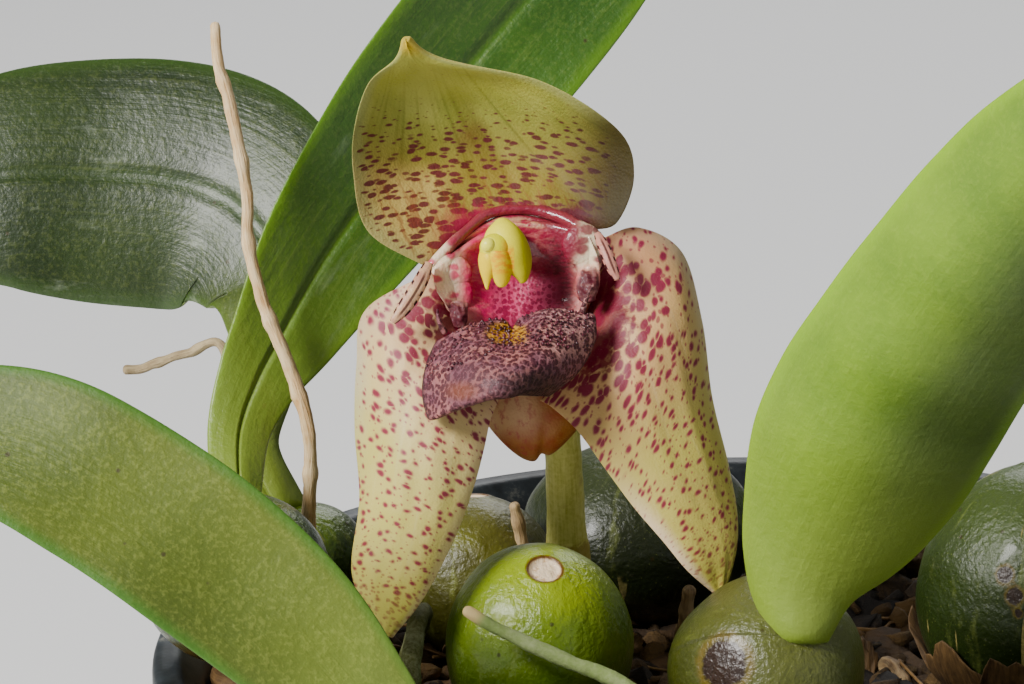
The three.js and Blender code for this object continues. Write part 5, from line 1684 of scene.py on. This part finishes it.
def sepals():
    thickness = thinning(SEPAL_THICKNESS)
    dorsal = blade(rowed_sheet(DORSAL_ROWS), thickness, across=110, along=150,
                   relief=sepal_relief(veins=9, seed=1))
    stand_in("sepal_dorsal", dorsal, in_flower, dorsal_finish())
    left = blade(rowed_sheet(LEFT_ROWS, (SEPAL_CURL, 0)), thickness, across=90, along=170,
                 relief=sepal_relief(veins=7, seed=2), face=-1)
    skin = lateral_finish("left sepal skin", tone(220, 206, 150), tone(198, 192, 118), True)
    stand_in("sepal_left", left, in_flower, skin)
    right = blade(rowed_sheet(RIGHT_ROWS, (0, SEPAL_CURL)), thickness, across=90, along=170,
                  relief=sepal_relief(veins=7, seed=3), face=-1)
    # Its cream is a little darker than the left sepal's: painted shade on the side away from the lamp.
    skin = lateral_finish("right sepal skin", tone(206, 190, 132), tone(206, 198, 122), False)
    stand_in("sepal_right", right, in_flower, skin)


def lump(at, radii, around=40, rings=28):
    """A rounded swelling, in the flower's frame."""
    def place(ways):
        points = ways * np.array(radii) + np.array(at)
        share = np.stack([ways[:, 0], ways[:, 1], np.ones(len(ways))], -1)
        return points, {"place": points, "share": share, "own": points}

    return ball(place, around, rings)


def column_foot():
    """The throat round the column: its floor, the rolled ridge under the dorsal sepal, and its lining."""
    floor = blade(rowed_sheet(COLUMN_FOOT_ROWS), thinning(0.8), across=80, along=100,
                  relief=sepal_relief(veins=3, seed=4))
    lining = blade(netted_sheet(LINING_ROWS), thinning(0.6), across=60, along=80,
                   relief=sepal_relief(veins=3, seed=6))

    def bumps(run, turn):
        return 0.06 * ripple(np.stack([run + 0 * turn, np.cos(turn) + 0 * run], -1), 2.4, 8)

    ridge = rod(RIDGE_POINTS, tapering(RIDGE_RADII), around=32, rings=110, bumps=bumps)
    shoulders = [lump(at, radii) for at, radii in SHOULDERS]
    relief = sepal_relief(veins=4, seed=9)
    membranes = [blade(rowed_sheet(rows), thinning(0.3), across=24, along=40, relief=relief, face=-1)
                 for rows in MEMBRANES]
    shape = joined([floor, lining, ridge, *shoulders, *membranes])
    stand_in("column_foot", shape, in_flower, throat_finish())


def lip(strewing):
    sheet = rowed_sheet(LIP_ROWS)
    thickness = 0.7 * LIP_THICKNESS

    def surface(s, t):
        point = sheet(s, t)
        point[..., 1] += LIP_FOLD * np.sin(math.pi * s) ** 2 * (1 - t) ** 1.5
        return point

    body = blade(surface, thinning(thickness), across=100, along=120,
                 relief=sepal_relief(veins=2, seed=5), face=-1)
    horns = [rod(points, lambda t: 0.22 - 0.15 * t, around=14, rings=20) for points in HORNS]
    stand_in("lip", joined([body, *horns]), in_flower, lip_finish())
    rows, columns, step = 30, 40, 0.001
    s, t = np.meshgrid(np.linspace(-0.96, 0.96, columns), np.linspace(0.03, 0.52, rows))
    across = surface(s + step, t) - surface(s - step, t)
    along = surface(s, t + step) - surface(s, t - step)
    proud = 0.5 * thinning(thickness)(s, t) * np.sqrt(1 - s**6)
    face = surface(s, t) - unit(np.cross(across, along)) * proud[..., None]
    corner = (np.arange(rows - 1)[:, None] * columns + np.arange(columns - 1)).reshape(-1)
    quads = np.stack([corner, corner + columns, corner + columns + 1, corner + 1], -1)
    ground = Shape(face.reshape(-1, 3), quads).moved(in_flower)
    beads = [ball(lambda ways: (ways * BEAD_RADII, {}), around=7, rings=5)]
    strewn("lip_papillae", strewing, ground, beads, papilla_finish(), "lip", Spacing=0.26 * MM,
           Thickness=2.4e7, Least_Size=0.4, Most_Size=1.0, Tilt=0.2, Sink=0.0, Roughen=0.0, Seed=3)


def column():
    stalk = rod(COLUMN_POINTS, tapering(COLUMN_RADII), around=48, rings=60)
    hood = blade(rowed_sheet(COLUMN_HOOD), thinning(0.6, 0.3), across=40, along=70, face=-1)
    teeth = [blade(rowed_sheet(rows), thinning(0.34, 0.18), across=24, along=50) for rows in COLUMN_TEETH]
    stand_in("column", joined([stalk, hood, *teeth]), in_flower, column_finish())
    cap = joined([lump(part["at"], part["radii"], around=56, rings=40) for part in (ANTHER, ANTHER_KNOB)])
    stand_in("anther_cap", cap, in_flower, anther_finish())


def mentum():
    """The chin of the flower, two lobes, and the ovary behind it."""
    def lobes(ways):
        groove = 1 - 0.13 * np.exp(-(((ways[:, 0] - 0.26) * 7) ** 2)) * (1 - ways[:, 1]) * 0.5
        points = ways * groove[:, None] * np.array(MENTUM["radii"])
        points[:, 0] *= 1 - 0.42 * np.clip(-ways[:, 1], 0, 1)
        points += np.array(MENTUM["at"])
        return points, {"own": points}

    chin = ball(lobes, around=96, rings=72)
    stand_in("mentum", chin, in_flower, mentum_finish())

    def ribs(run, turn):
        return 0.05 * np.cos(6 * turn) + 0 * run

    ovary = rod(OVARY_POINTS, tapering(OVARY_RADII), around=48, rings=60, bumps=ribs)
    stand_in("ovary", ovary, in_flower, scape_skin())


def petals():
    skin = petal_finish()
    for side, (line, half_width) in PETALS.items():

        def surface(s, t):
            way = direction(line, t)
            across = unit(np.cross(way, [0, 0, 1]))
            half = half_width * profile(PETAL_WIDTHS, t)
            point = even_line(line, t) + across * (s * half)[..., None]
            point[..., 2] -= 0.5 * half * s**2
            return point

        shape = blade(surface, lambda s, t: PETAL_THICKNESS + 0 * s, across=24, along=50)
        stand_in(f"petal_{side}", shape, in_flower, skin)


# The stage.

def stage():
    bpy.ops.mesh.primitive_plane_add(size=FLOOR_SIZE)
    floor = bpy.context.object
    floor.name = "floor"
    f = Finish("pale floor")
    f.colour = (0.85, 0.85, 0.84, 1)
    floor.data.materials.append(f.surface(0.8))
    world = bpy.data.worlds.new("studio")
    bpy.context.scene.world = world
    world.use_nodes = True
    back = world.node_tree.nodes["Background"]
    back.inputs["Color"].default_value = SKY
    back.inputs["Strength"].default_value = SKY_STRENGTH


def lamp(name, at, aim, width, power, colour=(1, 1, 1)):
    """A soft square lamp, in metres and watts."""
    light = bpy.data.lights.new(name, "AREA")
    light.size = width
    light.energy = power
    light.color = colour
    holder = shown(name, light)
    holder.location = at
    way = np.array(aim, float) - np.array(at, float)
    pitch = math.atan2(math.hypot(way[0], way[1]), -way[2])
    holder.rotation_euler = (pitch, 0, math.atan2(way[1], way[0]) - math.pi / 2)


def camera():
    data = bpy.data.cameras.new("camera")
    data.sensor_width = SENSOR
    data.lens = SENSOR * FOCAL_PIXELS / PHOTO_WIDTH
    data.clip_start = 0.01
    data.clip_end = 20
    holder = shown("camera", data)
    holder.location = [value * MM for value in in_plant(np.array(CAMERA_AT))]
    holder.rotation_euler = (math.pi / 2 - CAMERA_TILT, 0, 0)
    bpy.context.scene.camera = holder


camera()
stage()
lamp("key", (-0.45, -0.32, 0.46), (-0.01, 0, 0.07), 0.2, 8.5, (1, 0.98, 0.95))
lamp("fill", (0.6, -0.5, 0.3), (0, 0, 0.07), 0.6, 0.8)
lamp("back", (0.1, 0.6, 0.5), (0, 0, 0.07), 0.4, 2.2)

strewing = Strewing("strewing")
pot()
medium(strewing)
rhizome()
bulbs()
husks()
leaves()
stems()
twigs()
scape()
mentum()
column_foot()
lip(strewing)
column()
petals()
sepals()
